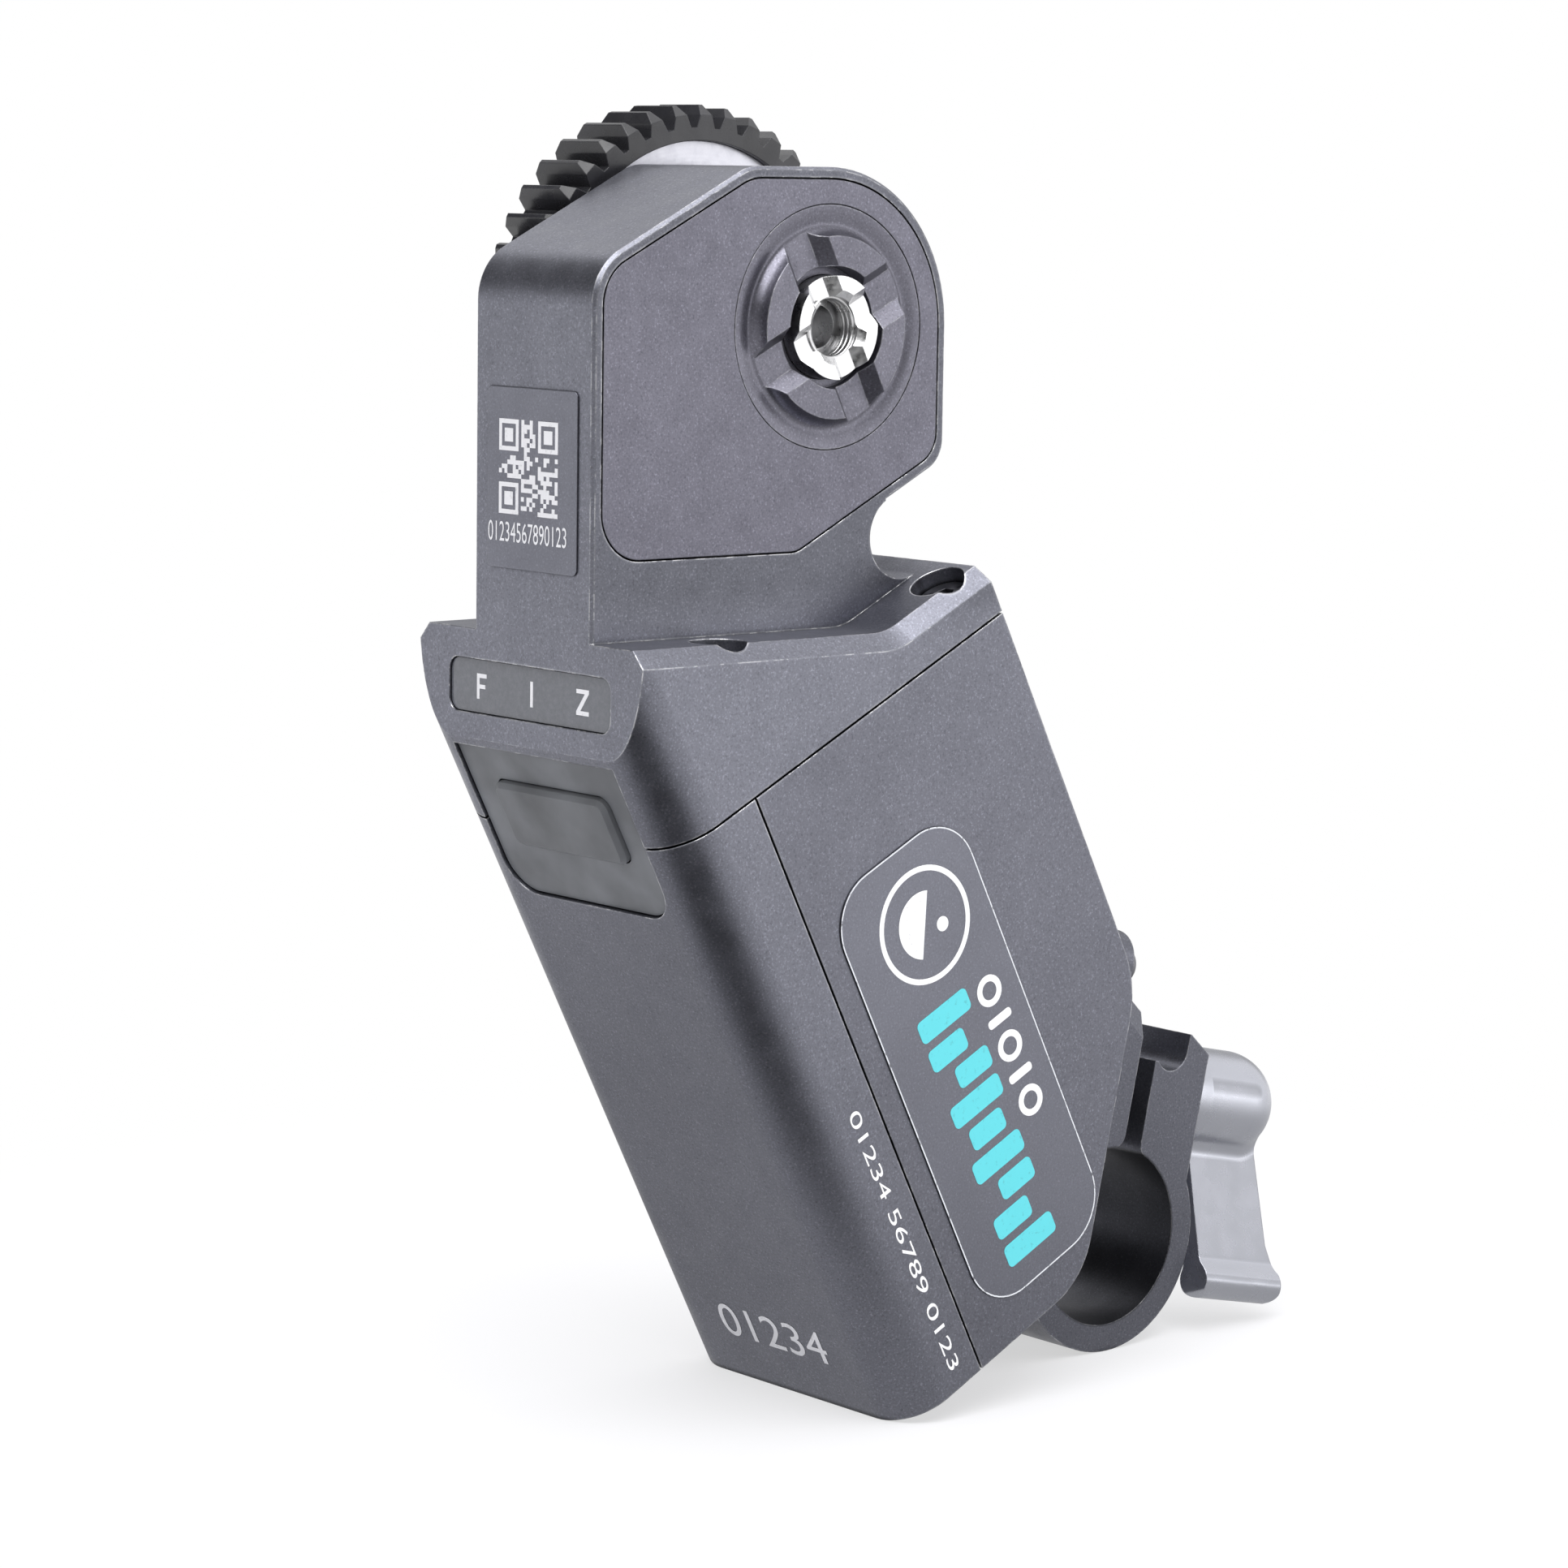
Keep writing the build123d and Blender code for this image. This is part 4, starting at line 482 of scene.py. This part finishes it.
def mesh_from(build):
    """A mesh made by build(bm), in metres, its faces outward."""
    bm = bmesh.new()
    build(bm)
    bmesh.ops.remove_doubles(bm, verts=bm.verts, dist=1e-7)
    bmesh.ops.recalc_face_normals(bm, faces=bm.faces)
    mesh = bpy.data.meshes.new("made")
    bm.to_mesh(mesh)
    bm.free()
    return mesh


def slab(bm, outline, place, along, up, out, thickness):
    """A flat shape of closed outline points (mm), lifted off a surface."""
    lower = [bm.verts.new((place + along * a + up * b) * MM) for a, b in outline]
    upper = [
        bm.verts.new((place + along * a + up * b + out * thickness) * MM)
        for a, b in outline
    ]
    bm.faces.new(upper)
    bm.faces.new(lower[::-1])
    count = len(outline)
    for i in range(count):
        j = (i + 1) % count
        bm.faces.new((lower[i], lower[j], upper[j], upper[i]))


def box(low_a, low_b, high_a, high_b):
    return [(low_a, low_b), (high_a, low_b), (high_a, high_b), (low_a, high_b)]


def rounded_box(low_a, low_b, high_a, high_b, radius, steps=8):
    points = []
    for centre_a, centre_b, start in (
        (high_a - radius, high_b - radius, 0),
        (low_a + radius, high_b - radius, 90),
        (low_a + radius, low_b + radius, 180),
        (high_a - radius, low_b + radius, 270),
    ):
        for step in range(steps + 1):
            turn = math.radians(start + 90 * step / steps)
            points.append(
                (centre_a + radius * math.cos(turn), centre_b + radius * math.sin(turn))
            )
    return points


def ribbon(bm, inner, outer, place, along, up, out, thickness):
    """A closed band between two outlines with the same number of points."""
    rows = []
    for outline, lift in ((inner, 0), (inner, thickness), (outer, thickness), (outer, 0)):
        rows.append(
            [
                bm.verts.new((place + along * a + up * b + out * lift) * MM)
                for a, b in outline
            ]
        )
    count = len(inner)
    for row in range(4):
        first, second = rows[row], rows[(row + 1) % 4]
        for i in range(count):
            j = (i + 1) % count
            bm.faces.new((first[i], first[j], second[j], second[i]))


# ------------------------------------------------------------------ channel letters
LETTER_LOW, LETTER_HIGH, STROKE = 47.62, 49.56, 0.32
F_LEFT, F_TOP_RIGHT = -6.66, -5.45
F_ARM_RIGHT, F_ARM_LOW = -5.60, 48.42
I_LEFT = 0.03
Z_LEFT, Z_RIGHT = 5.66, 7.16
Z_LOW_INNER, Z_HIGH_INNER = 6.14, 6.68
Z_TIP = STROKE * 0.9
ON_WINDOW = (Vector((0, WINDOW_FACE_Y, 0)), X, UP, FORWARD, PRINT_THICK)


def channel_letters(bm):
    """F, I and Z for focus, iris and zoom."""
    shapes = [
        box(F_LEFT, LETTER_LOW, F_LEFT + STROKE, LETTER_HIGH),
        box(F_LEFT + STROKE, LETTER_HIGH - STROKE, F_TOP_RIGHT, LETTER_HIGH),
        box(F_LEFT + STROKE, F_ARM_LOW, F_ARM_RIGHT, F_ARM_LOW + STROKE),
        box(I_LEFT, LETTER_LOW, I_LEFT + STROKE, LETTER_HIGH),
        [
            (Z_LEFT, LETTER_LOW), (Z_RIGHT, LETTER_LOW), (Z_RIGHT, LETTER_LOW + STROKE),
            (Z_LOW_INNER, LETTER_LOW + STROKE), (Z_RIGHT, LETTER_HIGH - Z_TIP),
            (Z_RIGHT, LETTER_HIGH), (Z_LEFT, LETTER_HIGH), (Z_LEFT, LETTER_HIGH - STROKE),
            (Z_HIGH_INNER, LETTER_HIGH - STROKE), (Z_LEFT, LETTER_LOW + Z_TIP),
        ],
    ]
    for shape in shapes:
        slab(bm, shape, *ON_WINDOW)


piece("window_letters", mesh_from(channel_letters), print_pale)


# ------------------------------------------------------------------ repeated shapes
class Growth:
    """A Geometry Nodes tree with named inputs, run once on a mesh."""

    def __init__(self, name):
        self.tree = bpy.data.node_groups.new(name, "GeometryNodeTree")
        for direction in ("INPUT", "OUTPUT"):
            self.socket("Geometry", direction, "Geometry")
        self.values = []
        self.start = None
        self.stop = self.tree.nodes.new("NodeGroupOutput")

    def socket(self, name, in_out, kind):
        return self.tree.interface.new_socket(
            name, in_out=in_out, socket_type="NodeSocket" + kind
        )

    def ask(self, name, kind, value):
        self.values.append((self.socket(name, "INPUT", kind).identifier, value))

    def add(self, kind, inputs=None, **settings):
        return new_node(self.tree, kind, inputs, settings)

    def given(self, name):
        if self.start is None:
            self.start = self.tree.nodes.new("NodeGroupInput")
        return self.start.outputs[name]

    def close(self, shape, material):
        real = self.add("GeometryNodeRealizeInstances", {"Geometry": shape}).outputs[0]
        done = self.add("GeometryNodeSetMaterial", {"Geometry": real, "Material": material})
        self.tree.links.new(done.outputs[0], self.stop.inputs[0])

    def run(self, mesh):
        holder = bpy.data.objects.new("holder", mesh)
        bpy.context.scene.collection.objects.link(holder)
        live = holder.modifiers.new("grow", "NODES")
        live.node_group = self.tree
        for identifier, value in self.values:
            live[identifier] = value
        depsgraph = bpy.context.evaluated_depsgraph_get()
        made = bpy.data.meshes.new_from_object(holder.evaluated_get(depsgraph))
        holder.modifiers.remove(live)
        bpy.data.objects.remove(holder)
        return made


def blocks(name, width, height, share, seed, material):
    """Flat blocks on the given points, a share of them left out at random."""
    growth = Growth(name)
    growth.ask("Width", "Float", width * MM)
    growth.ask("Height", "Float", height * MM)
    growth.ask("Thickness", "Float", PRINT_THICK * MM)
    growth.ask("Share kept", "Float", share)
    growth.ask("Seed", "Int", seed)
    dropped = growth.add(
        "FunctionNodeRandomValue", {"Seed": growth.given("Seed")}, data_type="FLOAT"
    )
    gone = growth.add(
        "FunctionNodeCompare",
        {0: dropped.outputs[1], 1: growth.given("Share kept")},
        data_type="FLOAT",
        operation="GREATER_THAN",
    )
    points = growth.add(
        "GeometryNodeDeleteGeometry",
        {"Geometry": growth.given("Geometry"), "Selection": gone.outputs[0]},
    )
    size = growth.add(
        "ShaderNodeCombineXYZ",
        {0: growth.given("Width"), 1: growth.given("Height"), 2: growth.given("Thickness")},
    )
    cube = growth.add("GeometryNodeMeshCube", {"Size": size.outputs[0]})
    placed = growth.add(
        "GeometryNodeInstanceOnPoints",
        {"Points": points.outputs[0], "Instance": cube.outputs[0]},
    )
    growth.close(placed.outputs[0], material)
    return growth


def points_mesh(places):
    """Loose points, at half the height of a print."""
    mesh = bpy.data.meshes.new("points")
    lift = PRINT_THICK / 2
    mesh.from_pydata([(a * MM, b * MM, lift * MM) for a, b in places], [], [])
    return mesh


def laid(mesh, place, along, up, out):
    """A flat mesh drawn in X and Y, moved onto a surface."""
    turned = Matrix((along, up, out)).transposed().to_4x4()
    mesh.transform(Matrix.Translation(place * MM) @ turned)
    if turned.determinant() < 0:
        mesh.flip_normals()
    return mesh


def thread(name, radius, pitch, turns, ridge, material):
    """A screw thread's ridge as a spiral inside a hole."""
    growth = Growth(name)
    growth.ask("Radius", "Float", radius * MM)
    growth.ask("Height", "Float", pitch * turns * MM)
    growth.ask("Turns", "Float", turns)
    growth.ask("Ridge", "Float", ridge * MM)
    spiral = growth.add(
        "GeometryNodeCurveSpiral",
        {
            "Resolution": 72,
            "Rotations": growth.given("Turns"),
            "Start Radius": growth.given("Radius"),
            "End Radius": growth.given("Radius"),
            "Height": growth.given("Height"),
        },
    )
    profile = growth.add(
        "GeometryNodeCurvePrimitiveCircle",
        {"Resolution": 4, "Radius": growth.given("Ridge")},
        mode="RADIUS",
    )
    wound = growth.add(
        "GeometryNodeCurveToMesh",
        {"Curve": spiral.outputs[0], "Profile Curve": profile.outputs[0], "Fill Caps": True},
    )
    growth.close(wound.outputs[0], material)
    return growth


# ------------------------------------------------------------------ prints
def numerals(body, height, width):
    """Plain numbers as a flat mesh, scaled to a height and a width in mm."""
    curve = bpy.data.curves.new("numerals", "FONT")
    curve.body = body
    curve.size = 1.0
    holder = bpy.data.objects.new("holder", curve)
    bpy.context.scene.collection.objects.link(holder)
    depsgraph = bpy.context.evaluated_depsgraph_get()
    mesh = bpy.data.meshes.new_from_object(holder.evaluated_get(depsgraph))
    bpy.data.objects.remove(holder)
    low_a = min(v.co.x for v in mesh.vertices)
    high_a = max(v.co.x for v in mesh.vertices)
    low_b = min(v.co.y for v in mesh.vertices)
    high_b = max(v.co.y for v in mesh.vertices)
    for vertex in mesh.vertices:
        vertex.co.x = (vertex.co.x - low_a) / (high_a - low_a) * width * MM
        vertex.co.y = (vertex.co.y - low_b) / (high_b - low_b) * height * MM
        vertex.co.z = PRINT_THICK * MM
    if mesh.polygons[0].normal.z < 0:
        mesh.flip_normals()
    return mesh


STICKER_FACE = Vector((0, FRONT_FACE_Y - FILM_THICK, 0))
ON_STICKER = (STICKER_FACE, X, UP, FORWARD, PRINT_THICK)
STICKER_NUMBERS_AT = Vector((-4.9, 0, 59.9))
CODE_LEFT, CODE_LOW, CODE_CELLS = -3.6, 62.0, 21
CODE_WIDTH, CODE_HEIGHT = 7.2, 7.1
CODE_CELL_X, CODE_CELL_Z = CODE_WIDTH / CODE_CELLS, CODE_HEIGHT / CODE_CELLS
CODE_SQUARE = 7
CODE_OVERLAP, CODE_SHARE, CODE_SEED = 1.02, 0.52, 11


def in_corner(column, row):
    """Whether a cell is in one of the three corners that hold the code's squares."""
    near, far = CODE_SQUARE + 1, CODE_CELLS - CODE_SQUARE - 1
    return (column < near and (row < near or row >= far)) or (column >= far and row >= far)


cells = [
    (CODE_LEFT + CODE_CELL_X * (column + 0.5), CODE_LOW + CODE_CELL_Z * (row + 0.5))
    for column in range(CODE_CELLS)
    for row in range(CODE_CELLS)
    if not in_corner(column, row)
]
code = blocks(
    "code_cells", CODE_CELL_X * CODE_OVERLAP, CODE_CELL_Z * CODE_OVERLAP,
    CODE_SHARE, CODE_SEED, print_pale,
)
piece("code_cells", laid(code.run(points_mesh(cells)), STICKER_FACE, X, UP, FORWARD), None)


def code_squares(bm):
    """The ring and the block in three corners of the code."""
    far = CODE_CELLS - CODE_SQUARE
    for column, row in ((0, 0), (0, far), (far, far)):
        a = CODE_LEFT + column * CODE_CELL_X
        b = CODE_LOW + row * CODE_CELL_Z
        shapes = []
        for inset in (0, 1, 2):
            shapes.append(
                box(
                    a + inset * CODE_CELL_X,
                    b + inset * CODE_CELL_Z,
                    a + (CODE_SQUARE - inset) * CODE_CELL_X,
                    b + (CODE_SQUARE - inset) * CODE_CELL_Z,
                )
            )
        ribbon(bm, shapes[1], shapes[0], *ON_STICKER)
        slab(bm, shapes[2], *ON_STICKER)


piece("code_squares", mesh_from(code_squares), print_pale)
piece(
    "sticker_numbers",
    laid(
        numerals("01234567890123", 1.5, 9.6),
        STICKER_FACE + STICKER_NUMBERS_AT,
        X,
        UP,
        FORWARD,
    ),
    print_pale,
)

# The side label is drawn in its own plane: back along the case, then up it.
SIDE_FACE = CASE_ORIGIN + X * (CASE_SIDE_X + FILM_THICK)
ON_SIDE = (SIDE_FACE, SLANT_BACK, SLANT_UP, X, PRINT_THICK)
LABEL_FRONT, LABEL_LOW, LABEL_BACK, LABEL_HIGH = 10.5, 3.3, 25.05, 42.4
LABEL_ROUND, LABEL_ROUND_INNER, LABEL_ROUND_STEPS = 4.4, 4.29, 14
LABEL_LINE = 0.11
MARK_BACK, MARK_UP = 18.4, 35.6
BAR_LOW, BAR_STEP, BAR_HEIGHT, BAR_ROUND = 5.6, 2.68, 1.95, 0.45
LONG_BAR, FRONT_BAR, BACK_BAR, MIDDLE_BAR = (14.2, 19.8), (14.2, 18.2), (16.0, 19.8), (15.1, 18.9)
BARS = (
    LONG_BAR, FRONT_BAR, BACK_BAR, LONG_BAR, MIDDLE_BAR,
    LONG_BAR, BACK_BAR, FRONT_BAR, LONG_BAR,
)
RING_COUNT, RING_LOW, RING_STEP = 5, 16.4, 2.6


def label_edge(bm):
    """The film's cut edge, where its base shows pale."""
    outer = rounded_box(
        LABEL_FRONT, LABEL_LOW, LABEL_BACK, LABEL_HIGH, LABEL_ROUND, LABEL_ROUND_STEPS
    )
    inner = rounded_box(
        LABEL_FRONT + LABEL_LINE, LABEL_LOW + LABEL_LINE,
        LABEL_BACK - LABEL_LINE, LABEL_HIGH - LABEL_LINE,
        LABEL_ROUND_INNER, LABEL_ROUND_STEPS,
    )
    ribbon(bm, inner, outer, *ON_SIDE)


def circle(centre_a, centre_b, radius, steps=64, start=0.0, sweep=360.0):
    """Points round a circle, or along an arc of it with both its ends."""
    points = []
    for step in range(steps):
        turn = math.radians(start + sweep * step / (steps if sweep == 360.0 else steps - 1))
        points.append((centre_a + radius * math.cos(turn), centre_b + radius * math.sin(turn)))
    return points


def focus_mark(bm):
    """A plain ring round a half disc and a dot."""
    a, b = MARK_BACK, MARK_UP
    ribbon(bm, circle(a, b, 4.25), circle(a, b, 4.7), *ON_SIDE)
    half = circle(a, b, 2.7, 33, 60.0, 180.0)
    slab(bm, half, *ON_SIDE)
    slab(bm, circle(a + 1.6, b - 0.9, 0.6, 24), *ON_SIDE)


def level_bars(bm):
    """A run of plain bars, long and short by turns."""
    for step, (near, far) in enumerate(BARS):
        low_b = BAR_LOW + step * BAR_STEP
        slab(bm, rounded_box(near, low_b, far, low_b + BAR_HEIGHT, BAR_ROUND, 5), *ON_SIDE)


def level_rings(bm):
    """Small plain rings and strokes beside the bars."""
    for step in range(RING_COUNT):
        low_b = RING_LOW + step * RING_STEP
        if step % 2:
            slab(bm, rounded_box(20.6, low_b, 23.2, low_b + 0.75, 0.3, 4), *ON_SIDE)
        else:
            centre = (21.9, low_b + 0.4)
            ribbon(bm, circle(*centre, 0.75, 32), circle(*centre, 1.3, 32), *ON_SIDE)


piece("label_edge", mesh_from(label_edge), film_edge)
piece("focus_mark", mesh_from(focus_mark), print_white)
piece("level_bars", mesh_from(level_bars), print_cyan)
piece("level_rings", mesh_from(level_rings), print_white)
piece(
    "side_numbers",
    laid(
        numerals("01234 56789 0123", 1.15, 24.6),
        CASE_ORIGIN + X * CASE_SIDE_X + SLANT_BACK * 5.3 + SLANT_UP * 26.4,
        -SLANT_UP,
        SLANT_BACK,
        X,
    ),
    print_white,
)
piece(
    "front_numbers",
    laid(
        numerals("01234", 3.2, 13.0),
        CASE_ORIGIN + X * -6.5 + SLANT_UP * 4.4,
        X,
        SLANT_UP,
        -SLANT_BACK,
    ),
    print_pale,
)

# ------------------------------------------------------------------ output thread
THREAD_RADIUS, THREAD_PITCH, THREAD_TURNS, THREAD_RIDGE = 2.36, 0.5, 3.4, 0.24
THREAD_ENDS = (("thread_right", 6.3, 1), ("thread_left", -5.5, -1))
turned_thread = thread(
    "ring_thread", THREAD_RADIUS, THREAD_PITCH, THREAD_TURNS, THREAD_RIDGE, steel
)
for name, start_x, sign in THREAD_ENDS:
    spiral = turned_thread.run(points_mesh([(0, 0)]))
    spiral.transform(Matrix.Rotation(math.pi / 2 * sign, 4, "Y"))
    spiral.transform(Matrix.Translation(Vector((start_x, OUTPUT_Y, OUTPUT_Z)) * MM))
    piece(name, spiral, None, "output")

# ------------------------------------------------------------------ floor and camera
FLOOR_REACH = 3


def floor_sheet(bm):
    corners = box(-FLOOR_REACH, -FLOOR_REACH, FLOOR_REACH, FLOOR_REACH)
    bm.faces.new([bm.verts.new((x, y, FLOOR_Z * MM)) for x, y in corners])


floor = bpy.data.objects.new("floor", mesh_from(floor_sheet))
bpy.context.scene.collection.objects.link(floor)

# The paper glows white to the camera away from the part, and in reflections except near the
# part and at its front, where the dimmed glow is painted shade. Places and distances are in
# metres.
PAPER_DARK, PAPER_LIGHT = (0.80, 0.80, 0.84), (0.83, 0.83, 0.87)
UNDER_PART, BEFORE_PART = (0.0, -0.012, 0.0), (0.065, -0.095, 0.0)
paper = Finish("floor_paper")
shade = paper.noise(60.0, 3.0)
paper.set(
    Base_Color=paper.blend(paper.ramp(shade, 0.3, 0.7), PAPER_DARK, PAPER_LIGHT),
    Roughness=0.7,
)
glow = paper.add("Emission", {"Color": (1, 1, 1, 1), "Strength": 1.0})
seen = paper.add("LightPath")
glossy = seen.outputs["Is Glossy Ray"]
straight = paper.sums(
    "MAXIMUM",
    seen.outputs["Is Camera Ray"],
    paper.sums("MAXIMUM", glossy, seen.outputs["Is Transmission Ray"]),
)
reach = paper.measure("DISTANCE", paper.place, UNDER_PART)
fade = paper.ramp(reach, 0.02, 0.12, 0.6, 1.0, True)
front = paper.measure("DISTANCE", paper.place, BEFORE_PART)
away = paper.ramp(front, 0.035, 0.11, 1.0, 0.0, True)
near = paper.ramp(reach, 0.05, 0.16, 0.45, 0.0, True)
# The glow seen in reflections is dimmed near the part and before it: painted shade.
reflected_shade = paper.sums("MULTIPLY", glossy, paper.sums("MAXIMUM", away, near))
paper.put(glow.inputs["Strength"], paper.sums("SUBTRACT", 1.0, reflected_shade))
cover = paper.sums("MAXIMUM", paper.sums("MULTIPLY", straight, fade), glossy)
mixed = paper.add("MixShader", {0: cover})
paper.tree.links.new(paper.shader.outputs["BSDF"], mixed.inputs[1])
paper.tree.links.new(glow.outputs[0], mixed.inputs[2])
paper.tree.links.new(mixed.outputs[0], paper.output.inputs["Surface"])
floor.data.materials.append(paper.material)

CAMERA_AT = (0.270123, -0.26199, 0.088013)
CAMERA_SIDE = Vector((0.647796, 0.761678, 0.0144))
CAMERA_RISE = Vector((-0.111569, 0.076155, 0.990834))
CAMERA_BACK = Vector((0.7536, -0.643465, 0.134313))
LENS_MM, SENSOR_MM = 104.439, 36.0
camera_data = bpy.data.cameras.new("camera")
camera_data.lens = LENS_MM
camera_data.sensor_width = SENSOR_MM
camera_data.clip_start, camera_data.clip_end = 0.01, 20.0
camera = bpy.data.objects.new("camera", camera_data)
bpy.context.scene.collection.objects.link(camera)
camera.matrix_world = Matrix.Translation(CAMERA_AT) @ Matrix(
    (CAMERA_SIDE, CAMERA_RISE, CAMERA_BACK)
).transposed().to_4x4()
bpy.context.scene.camera = camera

# ------------------------------------------------------------------ light
# Dark parts of the room, which shape the reflections: the way to each, the share of
# alignment where it starts and where it is full, and the light left there.
DARK_TO_CAMERA = ((0.754, -0.643, 0.134), 0.25, 0.72, 0.0)
DARK_HIGH_LEFT = ((-0.754, -0.406, 0.508), 0.84, 0.95, 0.02)
DARK_LOW_BEHIND = ((-0.70, 0.70, 0.10), 0.80, 0.95, 0.45)
ROOM_LIGHT = 1.05
# Lamps: name, place and size in metres, power in watts. All aim at the part's middle.
PART_MIDDLE = (0, -0.03, 0.04)
SOFTBOXES = (
    ("softbox_right", (0.62, 0.50, 0.10), (0.6, 0.5), 0.8),
    ("softbox_top", (-0.05, 0.05, 0.8), (0.7, 0.7), 1.2),
    ("softbox_over", (0.36, -0.40, 0.88), (1.0, 0.8), 12.0),
)
world = bpy.data.worlds.new("studio")
bpy.context.scene.world = world
world.use_nodes = True
sky = world.node_tree
sky.nodes.clear()


def sky_node(kind, inputs=None, **settings):
    return new_node(sky, "ShaderNode" + kind, inputs, settings)


def sky_product(first, second):
    return sky_node("Math", {0: first, 1: second}, operation="MULTIPLY").outputs[0]


way = sky_node("TexCoord").outputs["Generated"]


def dark_side(aim, outer, inner, left):
    """The share of the room's light that is left, lower toward one direction."""
    toward = sky_node(
        "VectorMath", {0: way, 1: aim}, operation="DOT_PRODUCT"
    ).outputs["Value"]
    return sky_node(
        "MapRange",
        {0: toward, 1: outer, 2: inner, 3: 1.0, 4: left},
        interpolation_type="SMOOTHSTEP",
    ).outputs["Result"]


shades = sky_product(dark_side(*DARK_TO_CAMERA), dark_side(*DARK_HIGH_LEFT))
shades = sky_product(shades, dark_side(*DARK_LOW_BEHIND))
room = sky_product(shades, ROOM_LIGHT)
path = sky_node("LightPath")
backdrop = sky_node(
    "Mix", {0: path.outputs["Is Camera Ray"], 2: room, 3: 1.0}, data_type="FLOAT"
).outputs[0]
sky.links.new(
    sky_node("Background", {"Color": (1, 1, 1, 1), "Strength": backdrop}).outputs[0],
    sky_node("OutputWorld").inputs["Surface"],
)


def softbox(name, place, size, power):
    data = bpy.data.lights.new(name, "AREA")
    data.shape = "RECTANGLE"
    data.size, data.size_y = size
    data.energy = power
    lamp = bpy.data.objects.new(name, data)
    lamp.location = place
    lamp.rotation_mode = "QUATERNION"
    lamp.rotation_quaternion = (
        Vector(PART_MIDDLE) - Vector(place)
    ).to_track_quat("-Z", "Y")
    bpy.context.scene.collection.objects.link(lamp)


for box_settings in SOFTBOXES:
    softbox(*box_settings)

bpy.context.scene.view_settings.view_transform = "Standard"
